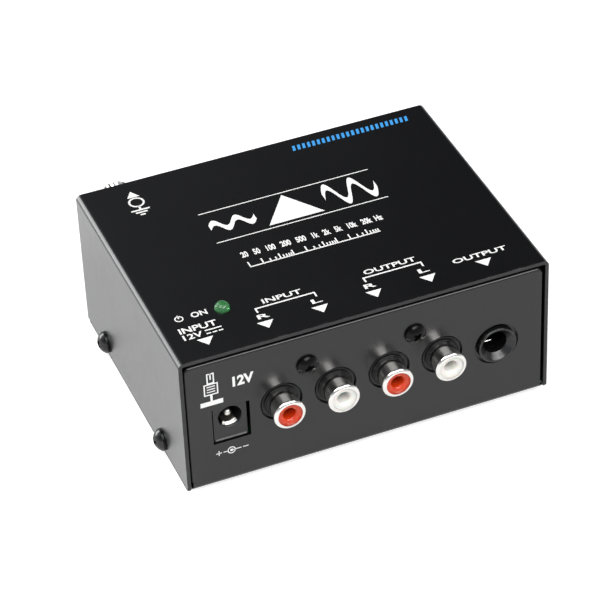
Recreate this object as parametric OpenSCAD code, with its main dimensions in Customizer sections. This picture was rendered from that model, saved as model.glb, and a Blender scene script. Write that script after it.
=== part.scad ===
// Phono preamplifier in a folded steel case.
// X runs to the right and -Y to the front as the connectors are faced, Z is up.
// The origin is on the surface that the feet stand on, under the middle of the overall box.

/* [Case] */
// Width of the case
case_w = 100; // [98:1:130]
// Depth of the case, from the cover's front edge to its rear edge
case_d = 77.2; // [75:0.1:110]
// Height of the case without its feet
case_h = 41.6; // [40:0.1:60]
// Thickness of the steel sheet
sheet = 1; // [0.8:0.1:1.2]
// Outside radius of the cover's bends
cover_bend_r = 1.5; // [1.3:0.1:3]
// Outside radius of the chassis bends
chassis_bend_r = 1.3; // [1.3:0.1:2]
// Distance of the two panels behind the cover's edges
panel_recess = 0.3; // [0:0.1:1]
// Gap between a panel and each side of the cover
panel_gap = 0.25; // [0.2:0.05:1]
// Gap between a panel and the top of the cover
panel_top_gap = 1.1; // [0.3:0.05:2]
// Radius of a panel's top corners
panel_corner_r = 2; // [0.5:0.1:4]
// Height of the cover's lower edge above the underside of the floor
cover_lift = 0.2; // [0:0.1:1]
// Height of the chassis side lips above the underside of the floor
lip_h = 10; // [9:0.5:10]
// Gap between a side lip and the cover
lip_gap = 0.2; // [0.1:0.05:0.3]
// Length of the relief between a side lip and each panel
lip_relief = 1.2; // [1:0.1:6]
// Width of the bend relief cut in a panel's lower corners
relief_w = 0.5; // [0.3:0.1:2]
// Height of the bend relief's upper end above the underside of the floor
relief_h = 2.4; // [1.6:0.1:4]

/* [Feet] */
// Height of a rubber foot
foot_h = 2; // [1:0.5:4]
// Radius of a rubber foot
foot_r = 4.5; // [3:0.5:6]
// Radius of the rounded lower edge of a foot
foot_edge_r = 0.6; // [0.2:0.1:0.8]
// Distance of a foot's middle from the sides of the case
foot_inset = 9; // [8:0.5:16]

/* [Screws] */
// Radius of the screw shanks
screw_r = 1.5; // [1.2:0.1:1.6]
// Radial clearance of a screw in a plain hole
screw_play = 0.15; // [0.1:0.05:0.3]
// Radius of a cover screw's head
cover_head_r = 3; // [2.6:0.1:3.5]
// Height of a cover screw's head
cover_head_h = 2.4; // [1.6:0.1:3]
// Length of a cover screw under its head
cover_screw_l = 6; // [4:0.5:8]
// Height of the cover screws above the underside of the floor
cover_screw_z = 3.8; // [3.7:0.1:4.5]
// Distance of the front cover screws in front of the middle of the case
cover_screw_front = 20.5; // [15:0.1:26]
// Distance of the rear cover screws behind the middle of the case
cover_screw_rear = 23; // [15:0.1:26]
// Radius of the other screws' heads
small_head_r = 2.85; // [2.4:0.1:3]
// Height of the other screws' heads
small_head_h = 1.9; // [1.4:0.1:2.2]
// Height of the straight rim of a screw head
head_rim = 0.6; // [0.3:0.1:1]
// Length of the cross recess in a screw head
recess_l = 3.2; // [2.5:0.1:3.6]
// Width of the cross recess in a screw head
recess_w = 0.8; // [0.5:0.1:1]
// Depth of the cross recess in a screw head
recess_depth = 1.2; // [0.8:0.1:1.2]

/* [Circuit board] */
// Height of the board's top above the underside of the floor
board_top = 13.2; // [13:0.1:13.3]
// Thickness of the board
board_t = 1.6; // [1.2:0.1:1.6]
// Gap between the board and each panel
board_gap = 0.6; // [0.3:0.1:2]
// Gap between the board and each side of the cover
board_side_gap = 3.5; // [3:0.5:4]
// Distance across the flats of a standoff
standoff_af = 5.5; // [5:0.5:6]
// Radius of a standoff's shank, pressed into the floor
standoff_shank_r = 2.1; // [1.8:0.1:2.3]
// Distance of the outer standoffs from the board's sides
standoff_inset = 5.5; // [5:0.5:7]
// Distance of the rear standoffs from the board's rear edge
standoff_rear_inset = 14; // [13:0.5:16]
// Distance of the front standoffs behind the connectors
standoff_back = 7; // [5:0.5:8]
// Length of a board screw under its head
board_screw_l = 6; // [5:0.5:8]

/* [Phono connectors] */
// Distance between neighbouring phono connectors
phono_pitch = 14.65; // [14:0.05:14.7]
// Distance of the four connectors' middle from the case's middle, to the left
phono_shift = 1.67; // [1:0.01:2]
// Height of the phono connectors above the underside of the floor
phono_h = 20.9; // [20.5:0.1:22]
// How far a phono connector stands out of the panel
phono_reach = 6.2; // [6:0.1:9]
// Outer radius of a connector's rolled rim
phono_rim_r = 4.3; // [4.15:0.05:4.5]
// Length of the rolled rim
phono_rim_l = 1.3; // [0.8:0.1:2]
// Outer radius of a connector's barrel
phono_barrel_r = 3.95; // [3.9:0.05:4.1]
// Wall of a connector's barrel
phono_wall = 0.4; // [0.3:0.05:0.5]
// Outer radius of the collar where the barrel meets the block
phono_collar_r = 4.7; // [4.5:0.1:5]
// Thickness of that collar
phono_collar_t = 0.6; // [0.4:0.1:1]
// Length of the barrel's tail inside the block
phono_tail = 7; // [5:0.5:8]
// Radius of the block's boss in the panel's hole
phono_boss_r = 5.2; // [5.1:0.1:5.4]
// Distance of the boss's face behind the panel's face
phono_boss_recess = 0.25; // [0.1:0.05:0.5]
// Radius of the panel's hole for a connector
phono_hole_r = 5.7; // [5.6:0.05:6]
// Radius of the spring sleeve's bore, which takes the plug's pin
phono_plug_r = 1.6; // [1.5:0.05:1.7]
// Extra radius of the hole in an insert
phono_mouth_play = 0.05; // [0.05:0.05:0.15]
// Distance of an insert's face behind the rim
phono_insert_recess = 0.35; // [0.2:0.05:1]
// Width of the slope around the plug hole
phono_slope = 0.5; // [0.2:0.1:0.8]
// Outer radius of the spring sleeve
phono_contact_r = 2.1; // [2:0.05:2.3]
// Thickness of the insert's front wall before the sleeve
phono_front_wall = 1.8; // [1.2:0.1:3]
// Radius of the solder tail behind the sleeve
phono_lead_r = 0.5; // [0.4:0.05:0.6]
// Width of a two-way connector block
block_w = 27.6; // [27.4:0.1:28]
// Depth of a connector block behind the panel
block_d = 10; // [9:0.5:11]
// Height of a block above its connectors' middle
block_rise = 6.2; // [6:0.1:6.5]
// Height of the block screw above the underside of the floor
block_screw_h = 30.1; // [29.8:0.1:31]
// Radius of the tower that takes the block screw
tower_r = 4; // [3:0.5:4.5]
// Length of a block screw under its head
block_screw_l = 8; // [6:0.5:9]

/* [Direct current inlet] */
// Distance of the inlet's middle from the case's middle, to the left
inlet_x = 37.3; // [36.9:0.1:37.5]
// Height of the inlet's middle above the underside of the floor
inlet_h = 20.4; // [20.3:0.1:20.6]
// Width of the inlet's body
inlet_w = 9; // [8.6:0.1:9.2]
// Height of the inlet's body above its middle
inlet_rise = 4.6; // [4.4:0.1:5]
// Depth of the inlet's body behind the panel
inlet_d = 11.5; // [11:0.1:11.8]
// Distance of the nose's face behind the panel's face
inlet_nose_recess = 0.45; // [0.2:0.05:0.7]
// Height of the nose above the inlet's middle
inlet_nose_rise = 3.6; // [3.5:0.05:3.7]
// Distance of the nose's lower edge above the board
inlet_nose_lift = 0.25; // [0.1:0.05:0.6]
// Radius of the inlet's bore
inlet_bore_r = 3.15; // [3:0.05:3.25]
// Width of the slope at the mouth of the bore
inlet_slope = 0.2; // [0.1:0.05:0.25]
// Wall behind the bore
inlet_back = 2; // [1.5:0.1:3]
// Radius of the inlet's centre pin
inlet_pin_r = 1.05; // [0.9:0.05:1.3]
// Distance of the pin's tip behind the nose's face
inlet_pin_back = 1.2; // [0.8:0.1:2.5]
// Width of the inlet's spring contact
inlet_spring_w = 3; // [2:0.1:3.4]
// Thickness of the inlet's spring contact
inlet_spring_t = 0.3; // [0.2:0.05:0.4]
// Gap between the nose and the left, top and bottom of the cut-out
inlet_gap = 0.35; // [0.2:0.05:0.5]
// Gap between the nose and the right side of the cut-out
inlet_gap_right = 0.7; // [0.2:0.05:1]

/* [Quarter inch jack] */
// Distance of the jack's middle from the case's middle, to the right
jack_x = 35.6; // [35.3:0.1:36]
// Height of the jack's middle above the underside of the floor
jack_h = 19.2; // [19:0.1:20]
// Radius of the jack's bore
jack_bore_r = 3.2; // [3.18:0.01:3.3]
// Length of the jack's bore from the face of the bushing
jack_bore_l = 25; // [22:0.5:25]
// Outer radius of the bushing
jack_bush_r = 5.3; // [5:0.1:5.6]
// How far the bushing stands out of the panel
jack_bush_reach = 1; // [0.4:0.1:3]
// Radius of the sloped mouth of the bushing
jack_mouth_r = 4.4; // [3.8:0.1:4.8]
// Depth of the sloped mouth of the bushing
jack_mouth_depth = 1.3; // [0.8:0.1:2]
// Radius of the panel's hole for the bushing
jack_hole_r = 6.15; // [5.9:0.05:6.4]
// Width of the jack's body
jack_w = 15.2; // [14.6:0.1:15.4]
// Depth of the jack's body behind the panel
jack_d = 25; // [24.5:0.1:25.5]
// Height of the jack's body above its middle
jack_rise = 6; // [5.8:0.1:6.4]
// Width of a jack spring
jack_spring_w = 2; // [1.5:0.1:2.4]
// Thickness of a jack spring
jack_spring_t = 0.4; // [0.3:0.05:0.5]
// Length of a jack spring inside its slot
jack_spring_l = 5; // [4:0.5:6]

/* [Power lamp] */
// Distance of the lamp from the case's middle, to the left
lamp_x = 31.9; // [31.5:0.1:32.2]
// Distance of the lamp's middle behind the power inlet's body
lamp_behind_inlet = 4; // [3.6:0.1:5]
// Radius of the lamp
lamp_r = 2.1; // [2:0.1:2.5]
// Radial gap between the lamp and the cover's hole
lamp_play = 0.1; // [0.05:0.05:0.3]
// How far the lamp stands out of the cover
lamp_reach = 1.8; // [1.2:0.1:2.3]
// Length of the lamp from its flange to its tip
lamp_l = 8.6; // [7:0.1:9]
// Extra radius of the lamp's flange
lamp_flange = 0.4; // [0.2:0.1:0.6]
// Thickness of the lamp's flange
lamp_flange_t = 1; // [0.6:0.1:1.5]
// Distance between the lamp's two leads
lamp_lead_pitch = 2.54; // [2.3:0.01:2.54]
// Radius of a lamp lead
lamp_lead_r = 0.25; // [0.2:0.05:0.3]

/* [Ground terminal] */
// Distance of the terminal from the case's middle, to the left
ground_x = 37; // [34:0.1:38]
// Distance of the terminal's middle below the top of the case
ground_drop = 8.6; // [8:0.1:10]
// Radius of the threaded post
post_r = 2; // [1.5:0.1:2.5]
// How far the post stands out of the rear panel
post_reach = 10.4; // [9.5:0.1:13]
// Radius of the post's head inside the case
post_head_r = 3.5; // [3:0.1:4]
// Thickness of the post's head
post_head_t = 2; // [1.5:0.1:3]
// Distance across the flats of the nut that holds the post
post_nut_af = 7; // [6.5:0.1:8]
// Thickness of the nut that holds the post
post_nut_t = 2.4; // [2:0.1:3]
// Radius of the clamping washer
washer_r = 4; // [3.5:0.1:5]
// Thickness of the clamping washer
washer_t = 0.8; // [0.5:0.1:1.2]
// Gap under the washer when the terminal is nearly closed
washer_gap = 0.3; // [0.2:0.05:0.5]
// Gap between the washer and the thumb nut
thumb_gap = 0.1; // [0.05:0.05:0.2]
// Outer radius of the thumb nut
thumb_r = 4.4; // [3.6:0.1:5]
// Length of the thumb nut
thumb_l = 4.7; // [4:0.1:6]
// Number of ridges around the thumb nut
thumb_ridges = 22; // [16:1:30]
// Depth of the grooves between the ridges
thumb_ridge_depth = 0.4; // [0.2:0.05:0.6]
// Width of the slope at the thumb nut's ends
thumb_slope = 0.5; // [0.2:0.1:0.8]
// Radius of the solder lug's ring
lug_r = 4.2; // [3.6:0.1:5]
// Thickness of the solder lug
lug_t = 0.5; // [0.3:0.1:0.8]
// Width of the lug's tail
lug_w = 3; // [2:0.1:4]
// Length of the lug's tail from the post's middle
lug_l = 9; // [8:0.5:10]
// Radius of the ground wire
wire_r = 0.8; // [0.5:0.05:1]
// Radius of the ground wire's bends
wire_bend_r = 3; // [2.5:0.1:3.5]

/* [Components] */
// Length of the amplifier chip
chip_l = 9.8; // [9:0.1:10.2]
// Width of the amplifier chip
chip_w = 6.4; // [6:0.1:6.8]
// Thickness of the amplifier chip
chip_t = 3.3; // [2.8:0.1:3.6]
// Height of the chip's underside above the board
chip_lift = 0.5; // [0.3:0.1:1]
// Distance between neighbouring chip legs
chip_pitch = 2.54; // [2.4:0.01:2.6]
// Width of a chip leg
chip_leg_w = 1; // [0.6:0.1:1.2]
// Thickness of a chip leg
chip_leg_t = 0.3; // [0.2:0.05:0.4]
// Length of a ceramic capacitor
ceramic_l = 3.8; // [3:0.1:4.5]
// Width of a ceramic capacitor
ceramic_w = 2.2; // [1.8:0.1:2.5]
// Height of a ceramic capacitor
ceramic_h = 3.2; // [2.5:0.1:4]
// Distance of the ceramic capacitors from the chip's middle
ceramic_out = 7.5; // [6.5:0.1:9]
// Distance of the amplifier section behind the case's middle
amp_back = 3; // [2:0.5:6]
// Length of a film capacitor
film_l = 7.2; // [6.5:0.1:7.5]
// Width of a film capacitor
film_w = 2.8; // [2.5:0.1:4]
// Height of a film capacitor
film_h = 6.5; // [5:0.1:9]
// Distance between neighbouring film capacitors
film_pitch = 6; // [5:0.1:6.5]
// Distance of the film capacitors from the chip's middle
film_out = 12; // [11:0.5:13]
// Radius of a coupling capacitor
coupling_r = 2.5; // [2:0.1:3.2]
// Height of a coupling capacitor, and of the one after the regulator
coupling_h = 11; // [7:0.5:12]
// Distance of the coupling capacitors from the chip's middle
coupling_out = 21; // [20:0.5:22]
// Distance between neighbouring coupling capacitors
coupling_pitch = 9; // [7:0.5:9]
// Gap between the reservoir capacitor and its neighbours
supply_gap = 1.5; // [1:0.1:2]
// Radius of the reservoir capacitor
reservoir_r = 5; // [4:0.1:5]
// Height of the reservoir capacitor
reservoir_h = 16; // [10:0.5:20]
// Radius of the regulator's round back
regulator_r = 2.4; // [2:0.1:2.6]
// Distance of the regulator's flat side from its middle
regulator_flat = 1.4; // [1:0.1:1.6]
// Height of the regulator
regulator_h = 5; // [4:0.1:6]
// Length of the regulator's legs
regulator_legs = 2; // [1:0.1:4]
// Number of resistors in the row
resistor_count = 8; // [2:1:9]
// Distance between neighbouring resistors
resistor_pitch = 5; // [4:0.1:5.5]
// Length of a resistor's body
resistor_l = 6.3; // [5:0.1:7]
// Radius of a resistor's body
resistor_r = 1.15; // [0.8:0.05:1.3]
// Distance between a resistor's two leads
resistor_span = 10.2; // [9:0.1:11]
// Radius of a resistor's lead
resistor_lead_r = 0.3; // [0.2:0.05:0.35]
// Height of a resistor's body above the board
resistor_lift = 0.2; // [0.1:0.05:0.3]
// Distance of the resistor row from the board's rear edge
resistor_inset = 12.6; // [11:0.1:14]
// Length of the polarity diode's body
diode_l = 5; // [4:0.1:5.5]
// Radius of the polarity diode's body
diode_r = 1.3; // [1:0.05:1.4]

/* [Hidden] */

// Segments of a round surface, of a larger bend and of a hexagon
round_fn = 64;
small_fn = 32;
hex_fn = 6;
// Radial clearance of a pushed fit, and of a running fit
push_fit = 0.05;
run_fit = 0.06;
// How far a cutting shape reaches past the wall that it cuts
over = 1;

// Planes of the case
case_y = (phono_reach - post_reach) / 2;
front_y = case_y - case_d / 2;
rear_y = case_y + case_d / 2;
panel_y = front_y + panel_recess;
panel_in_y = panel_y + sheet;
back_y = rear_y - panel_recess;
back_in_y = back_y - sheet;
base_z = foot_h;
floor_z = base_z + sheet;
top_z = base_z + case_h;
cover_in_x = case_w / 2 - sheet;
panel_w = 2 * (cover_in_x - panel_gap);
panel_h = case_h - sheet - panel_top_gap;
lip_w = 2 * (cover_in_x - lip_gap);
lip_y0 = panel_in_y + lip_relief;
lip_y1 = back_in_y - lip_relief;
cover_screw_ys = [case_y - cover_screw_front, case_y + cover_screw_rear];
cover_screw_zz = base_z + cover_screw_z;

// The board and its standoffs
board_z = base_z + board_top;
board_w = 2 * (cover_in_x - board_side_gap);
board_y0 = panel_in_y + board_gap;
board_y1 = back_in_y - board_gap;
standoff_x = board_w / 2 - standoff_inset;
standoff_rear_y = board_y1 - standoff_rear_inset;
standoffs_at = [
    [-standoff_x, panel_in_y + inlet_d + standoff_back],
    [block_xs()[1] + phono_pitch / 2, panel_in_y + block_d + standoff_back],
    [-standoff_x, standoff_rear_y],
    [standoff_x, standoff_rear_y]
];

// Connectors
phono_z = base_z + phono_h;
block_screw_z = base_z + block_screw_h;
block_back_y = panel_in_y + block_d;
inlet_z = base_z + inlet_h;
jack_z = base_z + jack_h;
function phono_xs() = [for (i = [-1.5:1:1.5]) i * phono_pitch - phono_shift];
function block_xs() = [for (side = [-1, 1]) side * phono_pitch - phono_shift];
insert_r = phono_barrel_r - phono_wall - push_fit;
mouth_r = phono_plug_r + phono_mouth_play;
contact_front = phono_reach - phono_insert_recess - phono_front_wall;

// Lamp
lamp_y = panel_in_y + inlet_d + lamp_behind_inlet;
lamp_base_z = top_z + lamp_reach - lamp_l;

// Ground terminal
ground_z = top_z - ground_drop;
washer_y = back_y + post_nut_t + washer_gap;
thumb_y = washer_y + washer_t + thumb_gap;
lug_tail_z = ground_z - lug_l;
wire_y = back_in_y - lug_t - wire_r;
wire_drop_y = wire_y - 2 * wire_bend_r;

// Amplifier section
amp_y = case_y + amp_back;
supply_x = -standoff_x + reservoir_r / 2;
diode_y = panel_in_y + block_d + standoff_back;
regulator_y = amp_y - reservoir_r - supply_gap - regulator_r;
output_y = amp_y + reservoir_r + supply_gap + coupling_r;

// Puts a shape that stands along Z so that it points to the front, to the rear or to a side
module to_front(x, y, z) { translate([x, y, z]) rotate([90, 0, 0]) children(); }
module to_rear(x, y, z) { translate([x, y, z]) rotate([-90, 0, 0]) children(); }
module to_side(side, y, z) { translate([side * case_w / 2, y, z]) rotate([0, 90 * side, 0]) children(); }

// Extrudes an outline drawn in X and Z along Y, and one drawn in Y and Z along X
module along_y(length) { rotate([90, 0, 0]) linear_extrude(length, center = true) children(); }
module along_x(length) { rotate([90, 0, 90]) linear_extrude(length, center = true) children(); }

// Filled outline of a folded sheet, with its two lower corners rounded
module fold(w, h, r) {
    translate([-w / 2, r]) square([w, h - r]);
    translate([r - w / 2, 0]) square([w - 2 * r, h]);
    for (side = [-1, 1]) translate([side * (w / 2 - r), r]) circle(r, $fn = round_fn);
}

// Section of a sheet folded to a U
module folded_u(w, h, r) {
    difference() {
        fold(w, h, r);
        translate([0, sheet]) fold(w - 2 * sheet, h + over, r - sheet);
    }
}

// A box with its lower left front corner at a given place
module block_from(x0, x1, y0, y1, z0, z1) {
    translate([x0, y0, z0]) cube([x1 - x0, y1 - y0, z1 - z0]);
}

// Cross recess of a screw head whose top is at z = head_h
module cross_recess(head_h) {
    for (turn = [0, 90])
        rotate([0, 0, turn])
            translate([-recess_l / 2, -recess_w / 2, head_h - recess_depth])
                cube([recess_l, recess_w, recess_depth + over]);
}

// Domed screw with its head above z = 0 and its shank below
module domed_screw(head_r, head_h, shank_l) {
    cap = head_h - head_rim;
    dome_r = (head_r * head_r + cap * cap) / (2 * cap);
    difference() {
        union() {
            rotate_extrude($fn = round_fn)
                intersection() {
                    square([head_r, head_h]);
                    translate([0, head_h - dome_r]) circle(dome_r, $fn = round_fn);
                }
            translate([0, 0, -shank_l]) cylinder(r = screw_r, h = shank_l, $fn = small_fn);
        }
        cross_recess(head_h);
    }
}

// Folded cover: top and both sides, with the lamp's hole and the screw holes
module top_cover() {
    color("#1c1d1f")
    difference() {
        translate([0, case_y, top_z]) mirror([0, 0, 1])
            along_y(case_d) folded_u(case_w, case_h - cover_lift, cover_bend_r);
        translate([-lamp_x, lamp_y, top_z - sheet - over])
            cylinder(r = lamp_r + lamp_play, h = sheet + 2 * over, $fn = round_fn);
        for (side = [-1, 1]) for (y = cover_screw_ys)
            to_side(side, y, cover_screw_zz) translate([0, 0, -sheet - over])
                cylinder(r = screw_r + screw_play, h = sheet + 2 * over, $fn = small_fn);
    }
}

// Outline of the two panels, drawn in X and Z, with round top corners
module panel_outline() {
    translate([0, panel_h]) mirror([0, 1]) fold(panel_w, panel_h, panel_corner_r);
}

// Floor with the two panels folded up, before the holes
module floor_and_panels() {
    intersection() {
        translate([0, case_y, base_z])
            along_x(panel_w) folded_u(back_y - panel_y, panel_h, chassis_bend_r);
        translate([0, case_y, base_z]) along_y(case_d) panel_outline();
    }
}

// Floor with the two side lips folded up
module floor_and_lips() {
    translate([0, (lip_y0 + lip_y1) / 2, base_z])
        along_y(lip_y1 - lip_y0) folded_u(lip_w, lip_h, chassis_bend_r);
}

// Holes of the connector panel
module connector_holes() {
    for (x = phono_xs())
        to_front(x, panel_in_y + over, phono_z)
            cylinder(r = phono_hole_r, h = sheet + 2 * over, $fn = round_fn);
    for (x = block_xs())
        to_front(x, panel_in_y + over, block_screw_z)
            cylinder(r = screw_r + screw_play, h = sheet + 2 * over, $fn = small_fn);
    to_front(jack_x, panel_in_y + over, jack_z)
        cylinder(r = jack_hole_r, h = sheet + 2 * over, $fn = round_fn);
    block_from(-inlet_x - inlet_w / 2 - inlet_gap, -inlet_x + inlet_w / 2 + inlet_gap_right,
        panel_y - over, panel_in_y + over,
        board_z + inlet_nose_lift - inlet_gap, inlet_z + inlet_nose_rise + inlet_gap / 2);
}

// Relief cuts at the panels' lower corners, just above the floor
module corner_reliefs() {
    for (side = [-1, 1]) for (end = [-1, 1])
        translate([side * (panel_w + over - relief_w) / 2,
                case_y + end * (case_d / 2 - panel_recess - sheet / 2), (floor_z + base_z + relief_h) / 2])
            cube([over + relief_w, sheet + 2 * over, base_z + relief_h - floor_z], center = true);
}

// Folded chassis: floor, connector panel, rear panel and side lips
module chassis() {
    color("#2a2b2d")
    difference() {
        union() {
            difference() {
                floor_and_panels();
                corner_reliefs();
            }
            floor_and_lips();
        }
        connector_holes();
        to_rear(-ground_x, back_in_y - over, ground_z)
            cylinder(r = post_r + push_fit, h = sheet + 2 * over, $fn = small_fn);
        for (side = [-1, 1]) for (y = cover_screw_ys)
            to_side(side, y, cover_screw_zz) translate([0, 0, -2 * sheet - lip_gap - over])
                cylinder(r = screw_r + push_fit, h = 2 * sheet + 2 * over, $fn = small_fn);
        for (at = standoffs_at)
            translate([at[0], at[1], base_z - over])
                cylinder(r = standoff_shank_r + push_fit, h = sheet + 2 * over, $fn = small_fn);
    }
}

// Four screws that hold the cover, two on each side
module cover_screws() {
    color("#17181a")
    for (side = [-1, 1]) for (y = cover_screw_ys)
        to_side(side, y, cover_screw_zz) domed_screw(cover_head_r, cover_head_h, cover_screw_l);
}

// Two screws that hold the connector blocks to the panel
module block_screws() {
    color("#17181a")
    for (x = block_xs())
        to_front(x, panel_y, block_screw_z) domed_screw(small_head_r, small_head_h, block_screw_l);
}

// Four stick-on feet
module rubber_feet() {
    color("#101010")
    for (x = [-1, 1]) for (y = [-1, 1])
        translate([x * (case_w / 2 - foot_inset), case_y + y * (case_d / 2 - foot_inset), 0])
            rotate_extrude($fn = round_fn) {
                square([foot_r - foot_edge_r, foot_h]);
                translate([0, foot_edge_r]) square([foot_r, foot_h - foot_edge_r]);
                translate([foot_r - foot_edge_r, foot_edge_r]) circle(foot_edge_r, $fn = small_fn);
            }
}

// Printed circuit board with its four screw holes
module circuit_board() {
    color("#2e6b3a")
    difference() {
        block_from(-board_w / 2, board_w / 2, board_y0, board_y1, board_z - board_t, board_z);
        for (at = standoffs_at)
            translate([at[0], at[1], board_z - board_t - over])
                cylinder(r = screw_r + screw_play, h = board_t + 2 * over, $fn = small_fn);
    }
}

// Four hexagonal standoffs, pressed into the floor by a short shank
module standoffs() {
    post_h = board_z - board_t - floor_z;
    color("#b9bcc0")
    for (at = standoffs_at)
        translate([at[0], at[1], floor_z])
            difference() {
                union() {
                    cylinder(r = standoff_af / 2 / cos(180 / hex_fn), h = post_h, $fn = hex_fn);
                    translate([0, 0, -sheet]) cylinder(r = standoff_shank_r, h = sheet, $fn = small_fn);
                }
                translate([0, 0, post_h - board_screw_l])
                    cylinder(r = screw_r + push_fit, h = board_screw_l + over, $fn = small_fn);
            }
}

// Four screws that hold the board to its standoffs
module board_screws() {
    color("#b9bcc0")
    for (at = standoffs_at)
        translate([at[0], at[1], board_z]) domed_screw(small_head_r, small_head_h, board_screw_l);
}

// Moulded block of two phono connectors around x = 0, its face against the panel
module connector_block(x) {
    main_z0 = board_z;
    main_z1 = phono_z + block_rise;
    boss_l = sheet - phono_boss_recess;
    difference() {
        union() {
            block_from(x - block_w / 2, x + block_w / 2, panel_in_y, block_back_y, main_z0, main_z1);
            block_from(x - tower_r, x + tower_r, panel_in_y, block_back_y, main_z1, block_screw_z);
            to_front(x, block_back_y, block_screw_z) cylinder(r = tower_r, h = block_d, $fn = round_fn);
            for (side = [-1, 1])
                to_front(x + side * phono_pitch / 2, panel_in_y, phono_z)
                    cylinder(r = phono_boss_r, h = boss_l, $fn = round_fn);
        }
        for (side = [-1, 1])
            to_front(x + side * phono_pitch / 2, panel_in_y + phono_tail, phono_z) {
                cylinder(r = phono_barrel_r + push_fit, h = phono_tail + sheet, $fn = round_fn);
                translate([0, 0, -block_d]) cylinder(r = phono_lead_r + push_fit, h = block_d, $fn = small_fn);
            }
        to_front(x, panel_in_y + block_screw_l, block_screw_z)
            cylinder(r = screw_r + push_fit, h = block_screw_l + over, $fn = small_fn);
    }
}

module input_block() { color("#1a1a1c") connector_block(block_xs()[0]); }
module output_block() { color("#1a1a1c") connector_block(block_xs()[1]); }

// Nickel-plated barrel with its rolled rim and its collar; z = 0 is the panel's face
module phono_shell(index) {
    bore_r = phono_barrel_r - phono_wall;
    tail_z = -sheet - phono_tail;
    collar_z = -phono_boss_recess;
    rim_z = phono_reach - phono_rim_l;
    lip = phono_rim_r - phono_barrel_r;
    color("#c9c7c2")
    to_front(phono_xs()[index], panel_y, phono_z)
        rotate_extrude($fn = round_fn)
            polygon([
                [bore_r, tail_z], [phono_barrel_r, tail_z],
                [phono_barrel_r, collar_z], [phono_collar_r, collar_z],
                [phono_collar_r, collar_z + phono_collar_t], [phono_barrel_r, collar_z + phono_collar_t],
                [phono_barrel_r, rim_z - lip], [phono_rim_r, rim_z],
                [phono_rim_r, phono_reach - lip / 2], [phono_rim_r - lip / 2, phono_reach],
                [bore_r, phono_reach]
            ]);
}

module input_right_shell() { phono_shell(0); }
module input_left_shell() { phono_shell(1); }
module output_right_shell() { phono_shell(2); }
module output_left_shell() { phono_shell(3); }

// Coloured insulator inside a barrel, with the plug hole and a pocket for the spring sleeve
module phono_insert(index) {
    face_z = phono_reach - phono_insert_recess;
    tail_z = -sheet - phono_tail;
    pocket_r = phono_contact_r + push_fit;
    to_front(phono_xs()[index], panel_y, phono_z)
        rotate_extrude($fn = round_fn)
            polygon([
                [pocket_r, tail_z], [insert_r, tail_z], [insert_r, face_z],
                [mouth_r + phono_slope, face_z], [mouth_r, face_z - phono_slope],
                [mouth_r, contact_front + push_fit], [pocket_r, contact_front + push_fit]
            ]);
}

module input_right_insert() { color("#e0341f") phono_insert(0); }
module input_left_insert() { color("#f2f1ea") phono_insert(1); }
module output_right_insert() { color("#e0341f") phono_insert(2); }
module output_left_insert() { color("#f2f1ea") phono_insert(3); }

// Spring sleeve that takes a plug's pin, with its solder tail bent down to the board
module phono_contact(index) {
    tail_z = -sheet - phono_tail;
    back_z = -sheet - block_d;
    lead_end = back_z - 2 * phono_lead_r;
    color("#c8a24a")
    to_front(phono_xs()[index], panel_y, phono_z) {
        difference() {
            translate([0, 0, tail_z])
                cylinder(r = phono_contact_r, h = contact_front - tail_z, $fn = round_fn);
            translate([0, 0, tail_z + phono_wall])
                cylinder(r = phono_plug_r, h = contact_front - tail_z, $fn = round_fn);
        }
        translate([0, 0, lead_end])
            cylinder(r = phono_lead_r, h = tail_z - lead_end, $fn = small_fn);
        translate([0, 0, lead_end]) rotate([90, 0, 0])
            cylinder(r = phono_lead_r, h = phono_z - board_z, $fn = small_fn);
    }
}

module input_right_contact() { phono_contact(0); }
module input_left_contact() { phono_contact(1); }
module output_right_contact() { phono_contact(2); }
module output_left_contact() { phono_contact(3); }

// Slot under the inlet's bore that the spring contact lies in
inlet_slot_z = inlet_z - inlet_bore_r - inlet_spring_t;

// Moulded body of the power inlet, its nose in the panel's cut-out
module inlet_body() {
    nose_y = panel_y + inlet_nose_recess;
    back = panel_in_y + inlet_d;
    bore_l = back - inlet_back - nose_y;
    color("#232426")
    difference() {
        union() {
            block_from(-inlet_x - inlet_w / 2, -inlet_x + inlet_w / 2, panel_in_y, back,
                board_z, inlet_z + inlet_rise);
            block_from(-inlet_x - inlet_w / 2, -inlet_x + inlet_w / 2, nose_y, panel_in_y,
                board_z + inlet_nose_lift, inlet_z + inlet_nose_rise);
        }
        to_front(-inlet_x, nose_y + bore_l, inlet_z) {
            cylinder(r = inlet_bore_r, h = bore_l + over, $fn = round_fn);
            translate([0, 0, bore_l - inlet_slope])
                cylinder(r1 = inlet_bore_r, r2 = inlet_bore_r + inlet_slope, h = inlet_slope, $fn = round_fn);
            translate([0, 0, -inlet_back - over])
                cylinder(r = inlet_pin_r + push_fit, h = inlet_back + 2 * over, $fn = small_fn);
        }
        block_from(-inlet_x - inlet_spring_w / 2 - push_fit, -inlet_x + inlet_spring_w / 2 + push_fit,
            nose_y + inlet_pin_back, back - inlet_back, inlet_slot_z - push_fit, inlet_z);
        block_from(-inlet_x - inlet_spring_w / 2 - push_fit, -inlet_x + inlet_spring_w / 2 + push_fit,
            nose_y + inlet_pin_back, back + over,
            inlet_slot_z - push_fit, inlet_slot_z + inlet_spring_t + push_fit);
    }
}

// Centre pin of the power inlet
module inlet_pin() {
    tip_y = panel_y + inlet_nose_recess + inlet_pin_back;
    back = panel_in_y + inlet_d;
    tip_r = inlet_pin_r / 2;
    color("#d5d3cc")
    to_front(-inlet_x, back, inlet_z)
        rotate_extrude($fn = small_fn) {
            square([inlet_pin_r, back - tip_y - tip_r]);
            square([tip_r, back - tip_y]);
            translate([tip_r, back - tip_y - tip_r]) circle(tip_r, $fn = small_fn);
        }
}

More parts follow.
